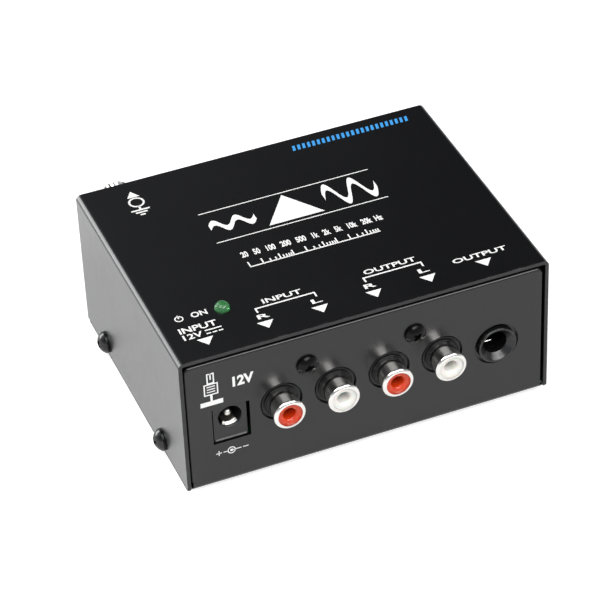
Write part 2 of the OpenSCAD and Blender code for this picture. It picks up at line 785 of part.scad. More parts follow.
// Spring strip under the inlet's bore, bent down to the board behind the body
module inlet_spring() {
    tip_y = panel_y + inlet_nose_recess + inlet_pin_back + push_fit;
    back = panel_in_y + inlet_d;
    color("#d5d3cc") {
        block_from(-inlet_x - inlet_spring_w / 2, -inlet_x + inlet_spring_w / 2,
            tip_y, back + inlet_spring_t, inlet_slot_z, inlet_slot_z + inlet_spring_t);
        block_from(-inlet_x - inlet_spring_w / 2, -inlet_x + inlet_spring_w / 2,
            back, back + inlet_spring_t, board_z, inlet_slot_z + inlet_spring_t);
    }
}

// Places of the jack's springs along its bore, behind the bushing's face, and their turns
jack_spring_places = [
    ["tip", jack_bore_l - jack_spring_l - over, 0],
    ["ring", jack_bore_l / 2, 180],
    ["sleeve", jack_mouth_depth + sheet + jack_bush_reach + over, 0]
];
jack_face_y = panel_y - jack_bush_reach;

// Places a child at one of the springs' slots, with +X along the jack and +Z away from its axis
module at_jack_spring(index) {
    place = jack_spring_places[index];
    translate([jack_x, jack_face_y + place[1], jack_z]) rotate([0, place[2], 0])
        translate([0, 0, jack_bore_r]) children();
}

// Moulded body of the quarter inch jack, with its bushing through the panel
module jack_body() {
    color("#1b1b1d")
    difference() {
        union() {
            block_from(jack_x - jack_w / 2, jack_x + jack_w / 2, panel_in_y, panel_in_y + jack_d,
                board_z, jack_z + jack_rise);
            to_front(jack_x, panel_in_y, jack_z)
                cylinder(r = jack_bush_r, h = sheet + jack_bush_reach, $fn = round_fn);
        }
        to_rear(jack_x, jack_face_y, jack_z) {
            cylinder(r = jack_bore_r, h = jack_bore_l, $fn = round_fn);
            cylinder(r1 = jack_mouth_r, r2 = jack_bore_r, h = jack_mouth_depth, $fn = round_fn);
        }
        for (index = [0:2])
            at_jack_spring(index)
                translate([-jack_spring_w / 2 - push_fit, -push_fit, -jack_bore_r / 2])
                    cube([jack_spring_w + 2 * push_fit, jack_spring_l + 2 * push_fit,
                        jack_bore_r / 2 + jack_spring_t + push_fit]);
    }
}

// One spring strip in the wall of the jack's bore
module jack_spring(index) {
    color("#d5d3cc")
    at_jack_spring(index)
        translate([-jack_spring_w / 2, 0, 0]) cube([jack_spring_w, jack_spring_l, jack_spring_t]);
}

module jack_tip_spring() { jack_spring(0); }
module jack_ring_spring() { jack_spring(1); }
module jack_sleeve_spring() { jack_spring(2); }

// Green lamp with its dome, body and flange
module lamp_lens() {
    color("#3f9c4a")
    translate([-lamp_x, lamp_y, lamp_base_z])
        rotate_extrude($fn = round_fn) {
            square([lamp_r, lamp_l - lamp_r]);
            square([lamp_r + lamp_flange, lamp_flange_t]);
            intersection() {
                translate([0, lamp_l - lamp_r]) circle(lamp_r, $fn = round_fn);
                square([lamp_r, lamp_l]);
            }
        }
}

// Tube that holds the lamp at its height above the board
module lamp_spacer() {
    color("#e8e6dd")
    difference() {
        translate([-lamp_x, lamp_y, board_z])
            cylinder(r = lamp_r, h = lamp_base_z - board_z, $fn = round_fn);
        for (side = [-1, 1])
            translate([-lamp_x + side * lamp_lead_pitch / 2, lamp_y, board_z - over])
                cylinder(r = lamp_lead_r + push_fit, h = lamp_base_z - board_z + 2 * over, $fn = small_fn);
    }
}

// Two leads of the lamp, inside the spacer
module lamp_leads() {
    color("#c9c9c9")
    for (side = [-1, 1])
        translate([-lamp_x + side * lamp_lead_pitch / 2, lamp_y, board_z])
            cylinder(r = lamp_lead_r, h = lamp_base_z - board_z, $fn = small_fn);
}

// Threaded post of the ground terminal, with its head inside the case
module ground_post() {
    head_y = back_in_y - lug_t - post_head_t;
    color("#c4c2bc")
    to_rear(-ground_x, head_y, ground_z) {
        cylinder(r = post_head_r, h = post_head_t, $fn = round_fn);
        cylinder(r = post_r, h = back_y + post_reach - head_y - thumb_slope, $fn = round_fn);
        translate([0, 0, back_y + post_reach - head_y - thumb_slope])
            cylinder(r1 = post_r, r2 = post_r - thumb_slope, h = thumb_slope, $fn = round_fn);
    }
}

// Hexagonal nut that holds the post to the rear panel
module ground_post_nut() {
    color("#c4c2bc")
    to_rear(-ground_x, back_y, ground_z)
        difference() {
            cylinder(r = post_nut_af / 2 / cos(180 / hex_fn), h = post_nut_t, $fn = hex_fn);
            translate([0, 0, -over]) cylinder(r = post_r + push_fit, h = post_nut_t + 2 * over, $fn = round_fn);
        }
}

// Washer that clamps the ground wire's fork
module ground_washer() {
    color("#c4c2bc")
    to_rear(-ground_x, washer_y, ground_z)
        difference() {
            cylinder(r = washer_r, h = washer_t, $fn = round_fn);
            translate([0, 0, -over]) cylinder(r = post_r + run_fit, h = washer_t + 2 * over, $fn = round_fn);
        }
}

// Outline of the thumb nut, with its straight ridges
module ridged_outline() {
    half_step = 180 / thumb_ridges;
    polygon([
        for (i = [0:2 * thumb_ridges - 1])
            (thumb_r - (i % 2) * thumb_ridge_depth) * [cos(i * half_step), sin(i * half_step)]
    ]);
}

// Ridged thumb nut of the ground terminal
module ground_thumb_nut() {
    end_r = thumb_r - thumb_slope;
    wide_r = thumb_r + over;
    wide_z = thumb_slope + over;
    color("#d8d6d0")
    to_rear(-ground_x, thumb_y, ground_z)
        difference() {
            intersection() {
                linear_extrude(thumb_l) ridged_outline();
                rotate_extrude($fn = round_fn)
                    polygon([
                        [0, 0], [end_r, 0], [wide_r, wide_z],
                        [wide_r, thumb_l - wide_z], [end_r, thumb_l], [0, thumb_l]
                    ]);
            }
            translate([0, 0, -over]) cylinder(r = post_r + run_fit, h = thumb_l + 2 * over, $fn = round_fn);
        }
}

// Solder lug held between the post's head and the rear panel
module ground_lug() {
    color("#c9c9c9")
    to_rear(-ground_x, back_in_y - lug_t, ground_z)
        difference() {
            union() {
                cylinder(r = lug_r, h = lug_t, $fn = round_fn);
                translate([-lug_w / 2, 0, 0]) cube([lug_w, lug_l, lug_t]);
            }
            translate([0, 0, -over]) cylinder(r = post_r + push_fit, h = lug_t + 2 * over, $fn = round_fn);
        }
}

// Quarter bend of the wire in the Y and Z plane, its arc's middle at the origin
module wire_bend(turn) {
    rotate([turn, 0, 0]) rotate([0, 90, 0]) rotate_extrude(angle = 90, $fn = round_fn)
        translate([wire_bend_r, 0]) circle(wire_r, $fn = small_fn);
}

// Ground wire from the lug's tail to the board
module ground_wire() {
    tail_top = lug_tail_z + lug_w;
    bend_z = lug_tail_z;
    color("#2f7d3b") {
        translate([-ground_x, wire_y, bend_z]) cylinder(r = wire_r, h = tail_top - bend_z, $fn = small_fn);
        translate([-ground_x, wire_y - wire_bend_r, bend_z]) wire_bend(0);
        translate([-ground_x, wire_drop_y + wire_bend_r, bend_z - 2 * wire_bend_r]) wire_bend(180);
        translate([-ground_x, wire_drop_y, board_z])
            cylinder(r = wire_r, h = bend_z - 2 * wire_bend_r - board_z, $fn = small_fn);
    }
}

// Dual operational amplifier
module amplifier_chip() {
    color("#1d1d1f")
    translate([0, amp_y, board_z + chip_lift + chip_t / 2]) cube([chip_l, chip_w, chip_t], center = true);
}

// Legs of the amplifier, four on each side
module amplifier_chip_legs() {
    color("#c9c9c9")
    for (side = [-1, 1]) for (i = [-1.5:1:1.5])
        translate([i * chip_pitch - chip_leg_w / 2,
            amp_y + side * (chip_w + chip_leg_t) / 2 - chip_leg_t / 2, board_z])
            cube([chip_leg_w, chip_leg_t, chip_lift + chip_t / 2]);
}

// Film capacitors of the equaliser, three for each channel
module film_capacitors() {
    color("#a8342a")
    for (side = [-1, 1]) for (i = [-1:1])
        translate([side * film_out, amp_y + i * film_pitch, board_z + film_h / 2])
            cube([film_l, film_w, film_h], center = true);
}

// Ceramic capacitors across the chip's supply
module ceramic_capacitors() {
    color("#c98f3c")
    for (side = [-1, 1])
        translate([0, amp_y + side * ceramic_out, board_z + ceramic_h / 2])
            cube([ceramic_l, ceramic_w, ceramic_h], center = true);
}

// Electrolytic capacitors that carry the signal, two for each channel
module coupling_capacitors() {
    color("#22305c")
    for (side = [-1, 1]) for (end = [-0.5, 0.5])
        translate([side * coupling_out, amp_y + end * coupling_pitch, board_z])
            cylinder(r = coupling_r, h = coupling_h, $fn = round_fn);
}

// Large capacitor behind the power inlet
module reservoir_capacitor() {
    color("#22305c")
    translate([supply_x, amp_y, board_z]) cylinder(r = reservoir_r, h = reservoir_h, $fn = round_fn);
}

// Smaller capacitor after the regulator
module output_capacitor() {
    color("#22305c")
    translate([supply_x, output_y, board_z])
        cylinder(r = coupling_r, h = coupling_h, $fn = round_fn);
}

// Voltage regulator with one flat side
module voltage_regulator() {
    color("#1d1d1f")
    translate([supply_x, regulator_y, board_z + regulator_legs])
        difference() {
            cylinder(r = regulator_r, h = regulator_h, $fn = round_fn);
            translate([-regulator_r, -regulator_flat - regulator_r, -over])
                cube([2 * regulator_r, regulator_r, regulator_h + 2 * over]);
        }
}

// Three legs of the regulator
module regulator_legs() {
    color("#c9c9c9")
    for (i = [-1:1])
        translate([supply_x + i * regulator_r / 2, regulator_y, board_z])
            cylinder(r = resistor_lead_r, h = regulator_legs, $fn = small_fn);
}

// Places the children at each resistor
module at_resistors() {
    for (i = [0:resistor_count - 1])
        translate([(i - (resistor_count - 1) / 2) * resistor_pitch, board_y1 - resistor_inset,
            board_z + resistor_lift + resistor_r]) children();
}

// One lead pair along Y: straight out of a body of the given length, then down to the board
module axial_leads(body_l, span, height) {
    for (side = [-1, 1]) {
        translate([0, side * span / 2, 0]) rotate([90 * side, 0, 0])
            cylinder(r = resistor_lead_r, h = (span - body_l) / 2, $fn = small_fn);
        translate([0, side * span / 2, -height])
            cylinder(r = resistor_lead_r, h = height, $fn = small_fn);
        translate([0, side * span / 2, 0]) sphere(r = resistor_lead_r, $fn = small_fn);
    }
}

// Bodies of the resistors
module resistor_bodies() {
    color("#c9b48a")
    at_resistors() rotate([90, 0, 0]) cylinder(r = resistor_r, h = resistor_l, center = true, $fn = small_fn);
}

// Leads of the resistors
module resistor_leads() {
    color("#c9c9c9")
    at_resistors() axial_leads(resistor_l, resistor_span, resistor_lift + resistor_r);
}

// Diode that guards against a reversed supply
module polarity_diode() {
    color("#1d1d1f")
    translate([-film_out, diode_y, board_z + resistor_lift + diode_r])
        rotate([90, 0, 0]) cylinder(r = diode_r, h = diode_l, center = true, $fn = small_fn);
}

// Leads of the diode
module diode_leads() {
    color("#c9c9c9")
    translate([-film_out, diode_y, board_z + resistor_lift + diode_r])
        axial_leads(diode_l, resistor_span, resistor_lift + diode_r);
}

top_cover();
chassis();
cover_screws();
block_screws();
rubber_feet();
circuit_board();
standoffs();
board_screws();
input_block();
output_block();
input_right_shell();
input_left_shell();
output_right_shell();
output_left_shell();
input_right_insert();
input_left_insert();
output_right_insert();
output_left_insert();
input_right_contact();
input_left_contact();
output_right_contact();
output_left_contact();
inlet_body();
inlet_pin();
inlet_spring();
jack_body();
jack_tip_spring();
jack_ring_spring();
jack_sleeve_spring();
lamp_lens();
lamp_spacer();
lamp_leads();
ground_post();
ground_post_nut();
ground_washer();
ground_thumb_nut();
ground_lug();
ground_wire();
amplifier_chip();
amplifier_chip_legs();
film_capacitors();
ceramic_capacitors();
coupling_capacitors();
reservoir_capacitor();
output_capacitor();
voltage_regulator();
regulator_legs();
resistor_bodies();
resistor_leads();
polarity_diode();
diode_leads();
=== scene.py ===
import math

import bpy
from mathutils import Matrix, Vector


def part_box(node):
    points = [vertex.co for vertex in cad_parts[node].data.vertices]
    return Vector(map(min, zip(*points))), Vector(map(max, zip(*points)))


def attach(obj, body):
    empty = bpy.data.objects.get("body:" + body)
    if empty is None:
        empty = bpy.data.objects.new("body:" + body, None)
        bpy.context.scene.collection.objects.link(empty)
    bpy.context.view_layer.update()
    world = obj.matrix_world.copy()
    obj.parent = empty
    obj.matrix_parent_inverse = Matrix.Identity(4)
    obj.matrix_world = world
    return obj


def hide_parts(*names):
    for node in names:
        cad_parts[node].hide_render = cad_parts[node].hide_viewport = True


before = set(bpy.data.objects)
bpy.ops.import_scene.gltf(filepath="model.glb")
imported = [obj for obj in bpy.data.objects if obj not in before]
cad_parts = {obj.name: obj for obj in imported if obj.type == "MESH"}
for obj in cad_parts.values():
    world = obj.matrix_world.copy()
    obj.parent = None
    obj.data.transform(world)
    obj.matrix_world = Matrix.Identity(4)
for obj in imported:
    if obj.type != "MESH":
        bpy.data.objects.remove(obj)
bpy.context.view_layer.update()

# Camera. It looks down on the front left corner of the case through a long lens, rolled a little
# about its own axis. Its angles and its offset are counted from the middle of the case's underside.
MM = 0.001
cover_low, cover_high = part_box("top_cover")
case_y = (cover_low.y + cover_high.y) / 2
base_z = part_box("rubber_feet")[1].z
camera_turn = math.radians(-20.635)
camera_elevation = math.radians(38.116)
camera_roll = math.radians(-2.651)
camera_offset = Vector((-3.484, 14.022, 765.3)) * MM
focal_pixels = 2875.4
image_pixels = 600
sensor_mm = 36

bpy.ops.object.camera_add()
camera = bpy.context.object
camera.data.sensor_width = sensor_mm
camera.data.lens = sensor_mm * focal_pixels / image_pixels
camera.data.clip_start = 10 * MM
camera.matrix_world = (
    Matrix.Translation((0, case_y, base_z))
    @ Matrix.Rotation(camera_turn, 4, "Z")
    @ Matrix.Rotation(math.pi / 2 - camera_elevation, 4, "X")
    @ Matrix.Rotation(camera_roll, 4, "Z")
    @ Matrix.Translation(camera_offset)
)
bpy.context.scene.camera = camera
bpy.context.scene.view_settings.view_transform = "Standard"


# Floor and studio. The floor is white paper. A wide lamp stands in front on the right and a square one
# above on the left. Behind and over the case the studio is dim, darker towards the right, and two white
# panels behind the left side light the fold of the cover.
def node(tree, kind, **values):
    """Adds a shader node. Values name its sockets, with _ for a space, or its settings."""
    made = tree.nodes.new("ShaderNode" + kind)
    for key, value in values.items():
        socket = made.inputs.get(key.replace("_", " "))
        if socket is None:
            setattr(made, key, value)
        elif isinstance(value, bpy.types.NodeSocket):
            tree.links.new(value, socket)
        else:
            socket.default_value = value
    return made


def maths(tree, operation, *values):
    """Adds a Math node and gives its output."""
    made = tree.nodes.new("ShaderNodeMath")
    made.operation = operation
    for socket, value in zip(made.inputs, values):
        if isinstance(value, bpy.types.NodeSocket):
            tree.links.new(value, socket)
        else:
            socket.default_value = value
    return made.outputs[0]


def ramp(tree, value, low, high, first=0.0, last=1.0):
    """Maps a value from low..high to first..last and holds it there."""
    made = node(tree, "MapRange", Value=value, From_Min=low, From_Max=high, To_Min=first, To_Max=last)
    return made.outputs["Result"]


def seen_directly(tree, to_camera, in_gloss):
    """The first value for camera rays, the second for rays from a gloss or through a clear piece."""
    path = node(tree, "LightPath")
    mirrored = maths(tree, "MAXIMUM", path.outputs["Is Glossy Ray"], path.outputs["Is Transmission Ray"])
    in_pieces = maths(tree, "MULTIPLY", mirrored, in_gloss)
    return maths(tree, "MULTIPLY_ADD", path.outputs["Is Camera Ray"], to_camera, in_pieces)


floor_size = 6
floor_white = 0.62
floor_glow = 0.68
floor_sheen = 0.2
bpy.ops.mesh.primitive_plane_add(size=floor_size)
floor = bpy.context.object
floor.name = "floor"
paper = bpy.data.materials.new("white_paper")
paper.use_nodes = True
shader = paper.node_tree.nodes["Principled BSDF"]
shader.inputs["Base Color"].default_value = (floor_white, floor_white, floor_white, 1)
shader.inputs["Roughness"].default_value = 0.9
shader.inputs["Specular IOR Level"].default_value = 0.1
shader.inputs["Emission Color"].default_value = (1, 1, 1, 1)
glow = seen_directly(paper.node_tree, floor_glow, floor_sheen)
paper.node_tree.links.new(glow, shader.inputs["Emission Strength"])
floor.data.materials.append(paper)

studio_low = 0.7
studio_front = 0.22
rear_left = 0.6
rear_middle = 0.2
world = bpy.data.worlds.new("studio")
bpy.context.scene.world = world
world.use_nodes = True
tree = world.node_tree
tree.nodes.clear()
way = node(tree, "SeparateXYZ", Vector=node(tree, "TexCoord").outputs["Generated"])
left_wall = ramp(tree, way.outputs["X"], -0.5, 0.1, rear_left, 0.0)
middle_wall = ramp(tree, way.outputs["X"], 0.17, 0.36, rear_middle, 0.0)
rear_wall = maths(tree, "ADD", left_wall, middle_wall)
to_rear = ramp(tree, way.outputs["Y"], 0.0, 0.35)
wall = node(tree, "Mix", data_type="FLOAT", Factor=to_rear, A=studio_front, B=rear_wall)
near_floor = ramp(tree, way.outputs["Z"], 0.05, 0.42, 1.0, 0.0)
walls = node(tree, "Mix", data_type="FLOAT", Factor=near_floor, A=wall.outputs["Result"], B=studio_low)
path = node(tree, "LightPath")
strength = maths(tree, "MAXIMUM", path.outputs["Is Camera Ray"], walls.outputs["Result"])
background = node(tree, "Background", Color=(0.93, 0.95, 1, 1), Strength=strength)
output = tree.nodes.new("ShaderNodeOutputWorld")
tree.links.new(background.outputs[0], output.inputs["Surface"])


def softbox(name, place, size, power):
    """A flat square or oblong lamp that faces the case."""
    bpy.ops.object.light_add(type="AREA", location=place)
    lamp = bpy.context.object
    lamp.name = name
    lamp.data.shape = "RECTANGLE"
    lamp.data.size, lamp.data.size_y = size
    lamp.data.energy = power
    aim = Vector((0, 0, 20 * MM)) - Vector(place)
    lamp.rotation_euler = aim.to_track_quat("-Z", "Y").to_euler()


softbox("lamp_front_right", (0.30, -0.70, 0.78), (1.15, 0.4), 9.5)
softbox("lamp_above_left", (-0.55, -0.35, 1.05), (0.8, 0.8), 9.5)
softbox("panel_behind_left", (-0.64, 0.72, 0.17), (0.4, 0.32), 2.4)
softbox("panel_over_left", (-0.50, 0.74, 0.47), (0.4, 0.3), 2.2)


# Chassis. Floor, connector panel and rear panel are one steel sheet, folded to a U with two side lips,
# and sprayed satin black. Under the clear top of the paint lies a very fine orange peel, and the paint
# is rubbed a little at the folds and cut edges. Dust and smudges are effects of their own.
def effect(name, inputs, outputs):
    """Starts a shader node group and gives it with its inner input and output sockets."""
    group = bpy.data.node_groups.new(name, "ShaderNodeTree")
    for label, value in inputs.items():
        socket = group.interface.new_socket(label, in_out="INPUT", socket_type="NodeSocketFloat")
        socket.default_value = value
    for label in outputs:
        group.interface.new_socket(label, in_out="OUTPUT", socket_type="NodeSocketFloat")
    taken = group.nodes.new("NodeGroupInput")
    given = group.nodes.new("NodeGroupOutput")
    return group, taken.outputs, given.inputs


def speckle(tree, scale, detail=2.0, stretch=(1, 1, 1)):
    """Noise from 0 to 1 over the piece's own coordinates, with the given features per metre."""
    place = node(tree, "Mapping", Vector=node(tree, "TexCoord").outputs["Object"], Scale=stretch)
    return node(tree, "TexNoise", Vector=place.outputs[0], Scale=scale, Detail=detail).outputs["Fac"]


# Fine grain of a sprayed or moulded skin, as a height
fine_grain, taken, given = effect("fine_grain", {"Grains per metre": 2500.0, "Waves": 0.5}, ["Height"])
grains = speckle(fine_grain, taken["Grains per metre"], 3.0)
slow = speckle(fine_grain, maths(fine_grain, "MULTIPLY", taken["Grains per metre"], 0.25), 1.0)
waves = maths(fine_grain, "MULTIPLY", slow, taken["Waves"])
fine_grain.links.new(maths(fine_grain, "ADD", grains, waves), given["Height"])

# Smudges where hands have held the case, from 0 to 1
handling, taken, given = effect("handling", {"Marks per metre": 60.0}, ["Smudge"])
broad = speckle(handling, taken["Marks per metre"], 4.0)
streaks = speckle(handling, maths(handling, "MULTIPLY", taken["Marks per metre"], 6.0), 2.0, (1, 1.4, 1))
both = maths(handling, "MULTIPLY", ramp(handling, broad, 0.42, 0.66), ramp(handling, streaks, 0.35, 0.7))
handling.links.new(both, given["Smudge"])

# Dust that settles on upward faces as sparse specks, from 0 to 1
settled_dust, taken, given = effect("settled_dust", {"Specks per metre": 900.0, "Amount": 0.5}, ["Dust"])
facing = node(settled_dust, "SeparateXYZ", Vector=node(settled_dust, "NewGeometry").outputs["Normal"])
upward = ramp(settled_dust, facing.outputs["Z"], 0.6, 0.95)
specks = ramp(settled_dust, speckle(settled_dust, taken["Specks per metre"], 1.0), 0.68, 0.76)
film = maths(settled_dust, "MULTIPLY", ramp(settled_dust, speckle(settled_dust, 35.0, 3.0), 0.4, 0.8), 0.35)
dust = maths(settled_dust, "MULTIPLY", maths(settled_dust, "ADD", specks, film), upward)
settled_dust.links.new(maths(settled_dust, "MULTIPLY", dust, taken["Amount"]), given["Dust"])


def placed_effect(tree, group, **values):
    """Puts an effect in a material with its own values and gives its first output."""
    made = tree.nodes.new("ShaderNodeGroup")
    made.node_tree = group
    for key, value in values.items():
        made.inputs[key.replace("_", " ")].default_value = value
    return made.outputs[0]


def blended(tree, mask, first, second):
    """Blends two colours by a mask. A colour is three numbers or a socket."""
    made = node(tree, "Mix", data_type="RGBA", Factor=mask)
    colour_sockets = [socket for socket in made.inputs if socket.type == "RGBA"]
    for socket, colour in zip(colour_sockets, (first, second)):
        if isinstance(colour, bpy.types.NodeSocket):
            tree.links.new(colour, socket)
        else:
            socket.default_value = (*colour, 1)
    return [socket for socket in made.outputs if socket.type == "RGBA"][0]


def finish(name, constants):
    """Starts a material and sets what is the same all over it on the shader's own sockets."""
    material = bpy.data.materials.new(name)
    material.use_nodes = True
    shader = material.node_tree.nodes["Principled BSDF"]
    for label, value in constants.items():
        shader.inputs[label].default_value = value
    return material, material.node_tree, shader


def coloured(tree, shader, mask, first, second):
    """Colours a material between two colours by a mask."""
    tree.links.new(blended(tree, mask, first, second), shader.inputs["Base Color"])


def bumped(tree, shader, height, depth):
    """Feeds a height from 0 to 1 to the shader's normal, the given number of metres deep."""
    bump = node(tree, "Bump", Height=height, Distance=depth, Strength=1.0)
    tree.links.new(bump.outputs["Normal"], shader.inputs["Normal"])


def grained(tree, shader, per_metre, depth, waves=0.5):
    """Gives a material the fine grain of a sprayed or moulded skin."""
    bumped(tree, shader, placed_effect(tree, fine_grain, Grains_per_metre=per_metre, Waves=waves), depth)


# Rub of the paint near the edges of the case, from 0 to 1
edge_rub, taken, given = effect("edge_rub", {"Width": 0.7 * MM}, ["Rub"])
spot = node(edge_rub, "SeparateXYZ", Vector=node(edge_rub, "TexCoord").outputs["Object"])
from_side = maths(edge_rub, "SUBTRACT", cover_high.x, maths(edge_rub, "ABSOLUTE", spot.outputs["X"]))
from_top = maths(edge_rub, "SUBTRACT", cover_high.z, spot.outputs["Z"])
from_front = maths(edge_rub, "SUBTRACT", spot.outputs["Y"], cover_low.y)
from_rear = maths(edge_rub, "SUBTRACT", cover_high.y, spot.outputs["Y"])
from_end = maths(edge_rub, "MINIMUM", from_front, from_rear)
at_bend = maths(edge_rub, "MAXIMUM", from_side, from_top)
at_cut = maths(edge_rub, "MAXIMUM", from_end, maths(edge_rub, "MINIMUM", from_side, from_top))
nearest = maths(edge_rub, "MINIMUM", at_bend, at_cut)
close = maths(edge_rub, "SUBTRACT", 1.0, maths(edge_rub, "DIVIDE", nearest, taken["Width"]))
worn = ramp(edge_rub, speckle(edge_rub, 420.0, 4.0), 0.5, 0.72)
rub = maths(edge_rub, "MULTIPLY", maths(edge_rub, "MAXIMUM", close, 0.0), worn)
edge_rub.links.new(maths(edge_rub, "MINIMUM", rub, 1.0), given["Rub"])

paint_black = (0.003, 0.003, 0.0034)
rubbed_grey = (0.03, 0.03, 0.032)
dust_grey = (0.16, 0.155, 0.145)
paint_roughness = 0.28


def satin_paint(name):
    """Satin black paint on steel."""
    constants = {"IOR": 1.36, "Coat Weight": 1.0, "Coat IOR": 1.36, "Coat Roughness": 0.21}
    material, tree, shader = finish(name, constants)
    rub = placed_effect(tree, edge_rub)
    dust = placed_effect(tree, settled_dust, Specks_per_metre=1400.0, Amount=0.02)
    smudge = placed_effect(tree, handling, Marks_per_metre=45.0)
    coloured(tree, shader, dust, blended(tree, rub, paint_black, rubbed_grey), dust_grey)
    soiled = maths(tree, "MULTIPLY_ADD", smudge, 0.04, paint_roughness)
    tree.links.new(maths(tree, "MULTIPLY_ADD", dust, 0.5, soiled), shader.inputs["Roughness"])
    grained(tree, shader, 2600.0, 0.0025 * MM, 0.6)
    return material


def only(*pieces):
    """Selects these pieces alone and makes the first one active."""
    bpy.ops.object.select_all(action="DESELECT")
    for piece in pieces:
        piece.select_set(True)
    bpy.context.view_layer.objects.active = pieces[0]


def rounded(piece, width, steps=2, sharp=30):
    """Rounds a piece's sharp edges and smooths the shading of its curved faces."""
    only(piece)
    bpy.ops.object.modifier_add(type="BEVEL")
    bevel = piece.modifiers[-1]
    bevel.width = width
    bevel.segments = steps
    bevel.limit_method = "ANGLE"
    bevel.angle_limit = math.radians(sharp)
    bpy.ops.object.modifier_apply(modifier=bevel.name)
    bpy.ops.object.shade_smooth_by_angle(angle=math.radians(sharp + 5))
    bpy.ops.object.modifier_add(type="WEIGHTED_NORMAL")
    piece.modifiers[-1].keep_sharp = True
    bpy.ops.object.modifier_apply(modifier=piece.modifiers[-1].name)
    return piece


def rounded_edges(piece, chosen, width):
    """Rounds the edges between the chosen corners of a piece."""
    only(piece)
    bpy.ops.object.mode_set(mode="EDIT")
    bpy.ops.mesh.select_mode(type="EDGE")
    bpy.ops.mesh.select_all(action="DESELECT")
    bpy.ops.object.mode_set(mode="OBJECT")
    for edge in piece.data.edges:
        edge.select = all(corner in chosen for corner in edge.vertices)
    bpy.ops.object.mode_set(mode="EDIT")
    bpy.ops.mesh.bevel(offset=width, segments=4, affect="EDGES", loop_slide=False)
    bpy.ops.mesh.select_mode(type="VERT")
    bpy.ops.object.mode_set(mode="OBJECT")


def copied_solid(name, solid):
    """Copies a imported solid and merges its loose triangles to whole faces."""
    piece = bpy.data.objects.new(name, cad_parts[solid].data.copy())
    bpy.context.scene.collection.objects.link(piece)
    only(piece)
    bpy.ops.object.mode_set(mode="EDIT")
    bpy.ops.mesh.select_all(action="SELECT")
    bpy.ops.mesh.remove_doubles(threshold=0.001 * MM)
    bpy.ops.mesh.dissolve_limited(angle_limit=math.radians(1))
    bpy.ops.object.mode_set(mode="OBJECT")
    return piece


def fitted_out(piece, material, solid=None, body="case"):
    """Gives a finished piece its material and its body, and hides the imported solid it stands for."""
    piece.data.materials.clear()
    piece.data.materials.append(material)
    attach(piece, body)
    if solid:
        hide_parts(solid)


same_place = 0.01 * MM


def on_end_face(corner, low, high):
    """True for a corner on the front or rear face of a sheet that reaches from low to high."""
    return min(corner.co.y - low.y, high.y - corner.co.y) < same_place


sheet_edge = 0.1 * MM
panel_edge = 0.85 * MM
rim_band = 2.02 * MM
floor_bend = 2.3 * MM
panel_low, panel_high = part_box("chassis")
chassis_sheet = copied_solid("chassis_sheet", "chassis")

# The outer edge of each panel is rounded more than the edges of its holes
on_face = [corner for corner in chassis_sheet.data.vertices if on_end_face(corner, panel_low, panel_high)]
panel_half = max(corner.co.x for corner in on_face)
panel_top = max(corner.co.z for corner in on_face)
rim_corners = set()
for corner in on_face:
    by_rim = corner.co.z > panel_top - rim_band or abs(corner.co.x) > panel_half - rim_band
    if by_rim and corner.co.z > base_z + floor_bend:
        rim_corners.add(corner.index)
rounded_edges(chassis_sheet, rim_corners, panel_edge)
rounded(chassis_sheet, sheet_edge)
fitted_out(chassis_sheet, satin_paint("chassis_paint"), "chassis")


# Cover. The top and both sides are one folded steel sheet in the same paint as the chassis. Its cut
# edges stand just proud of the two panels, and the lower corners of its sides are rounded.
cover_edge = 0.2 * MM
cover_corner = 0.9 * MM
cover_sheet = copied_solid("cover_sheet", "top_cover")
low_corners = set()
for corner in cover_sheet.data.vertices:
    if on_end_face(corner, cover_low, cover_high) and corner.co.z < cover_low.z + same_place:
        low_corners.add(corner.index)
rounded_edges(cover_sheet, low_corners, cover_corner)
rounded(cover_sheet, cover_edge, 3)
fitted_out(cover_sheet, satin_paint("cover_paint"), "top_cover")


# Print on the cover. White ink is screened on: names of the connectors, arrows towards the front,
# brackets over the pairs and the earth mark. All of it is one thin layer of ink, and its places are
# in millimetres from the middle of the cover.
ink_depth = 0.03 * MM
ink_sink = 0.01 * MM
ink_white = (0.82, 0.82, 0.8)
ink_blue = (0.045, 0.3, 0.7)
cover_print = []


def uneven_gloss(tree, shader, spots, low, high, detail=2.0, top=0.7):
    """Lets the roughness wander between two values, with the given number of spots per metre."""
    roughness = ramp(tree, speckle(tree, spots, detail), 0.3, top, low, high)
    tree.links.new(roughness, shader.inputs["Roughness"])


def screened_ink(name, colour):
    """Slightly uneven matt ink."""
    material, tree, shader = finish(name, {"IOR": 1.45})
    thin = ramp(tree, speckle(tree, 900.0, 3.0), 0.3, 0.75, 0.0, 0.12)
    coloured(tree, shader, thin, colour, [0.75 * part for part in colour])
    uneven_gloss(tree, shader, 500.0, 0.42, 0.58)
    grained(tree, shader, 5000.0, 0.003 * MM)
    return material


def added(primitive, **sizes):
    """Adds a primitive with nothing else selected."""
    bpy.ops.object.select_all(action="DESELECT")
    primitive(**sizes)
    return bpy.context.object


def put(piece, place, turn=(0, 0, 0)):
    """Turns and moves a piece and applies both, and its scale, to its mesh."""
    only(piece)
    piece.location = place
    piece.rotation_euler = turn
    bpy.ops.object.transform_apply(location=True, rotation=True, scale=True)
    return piece


def joined(parts):
    """Joins parts to the first of them."""
    only(*parts)
    bpy.ops.object.join()
    return parts[0]


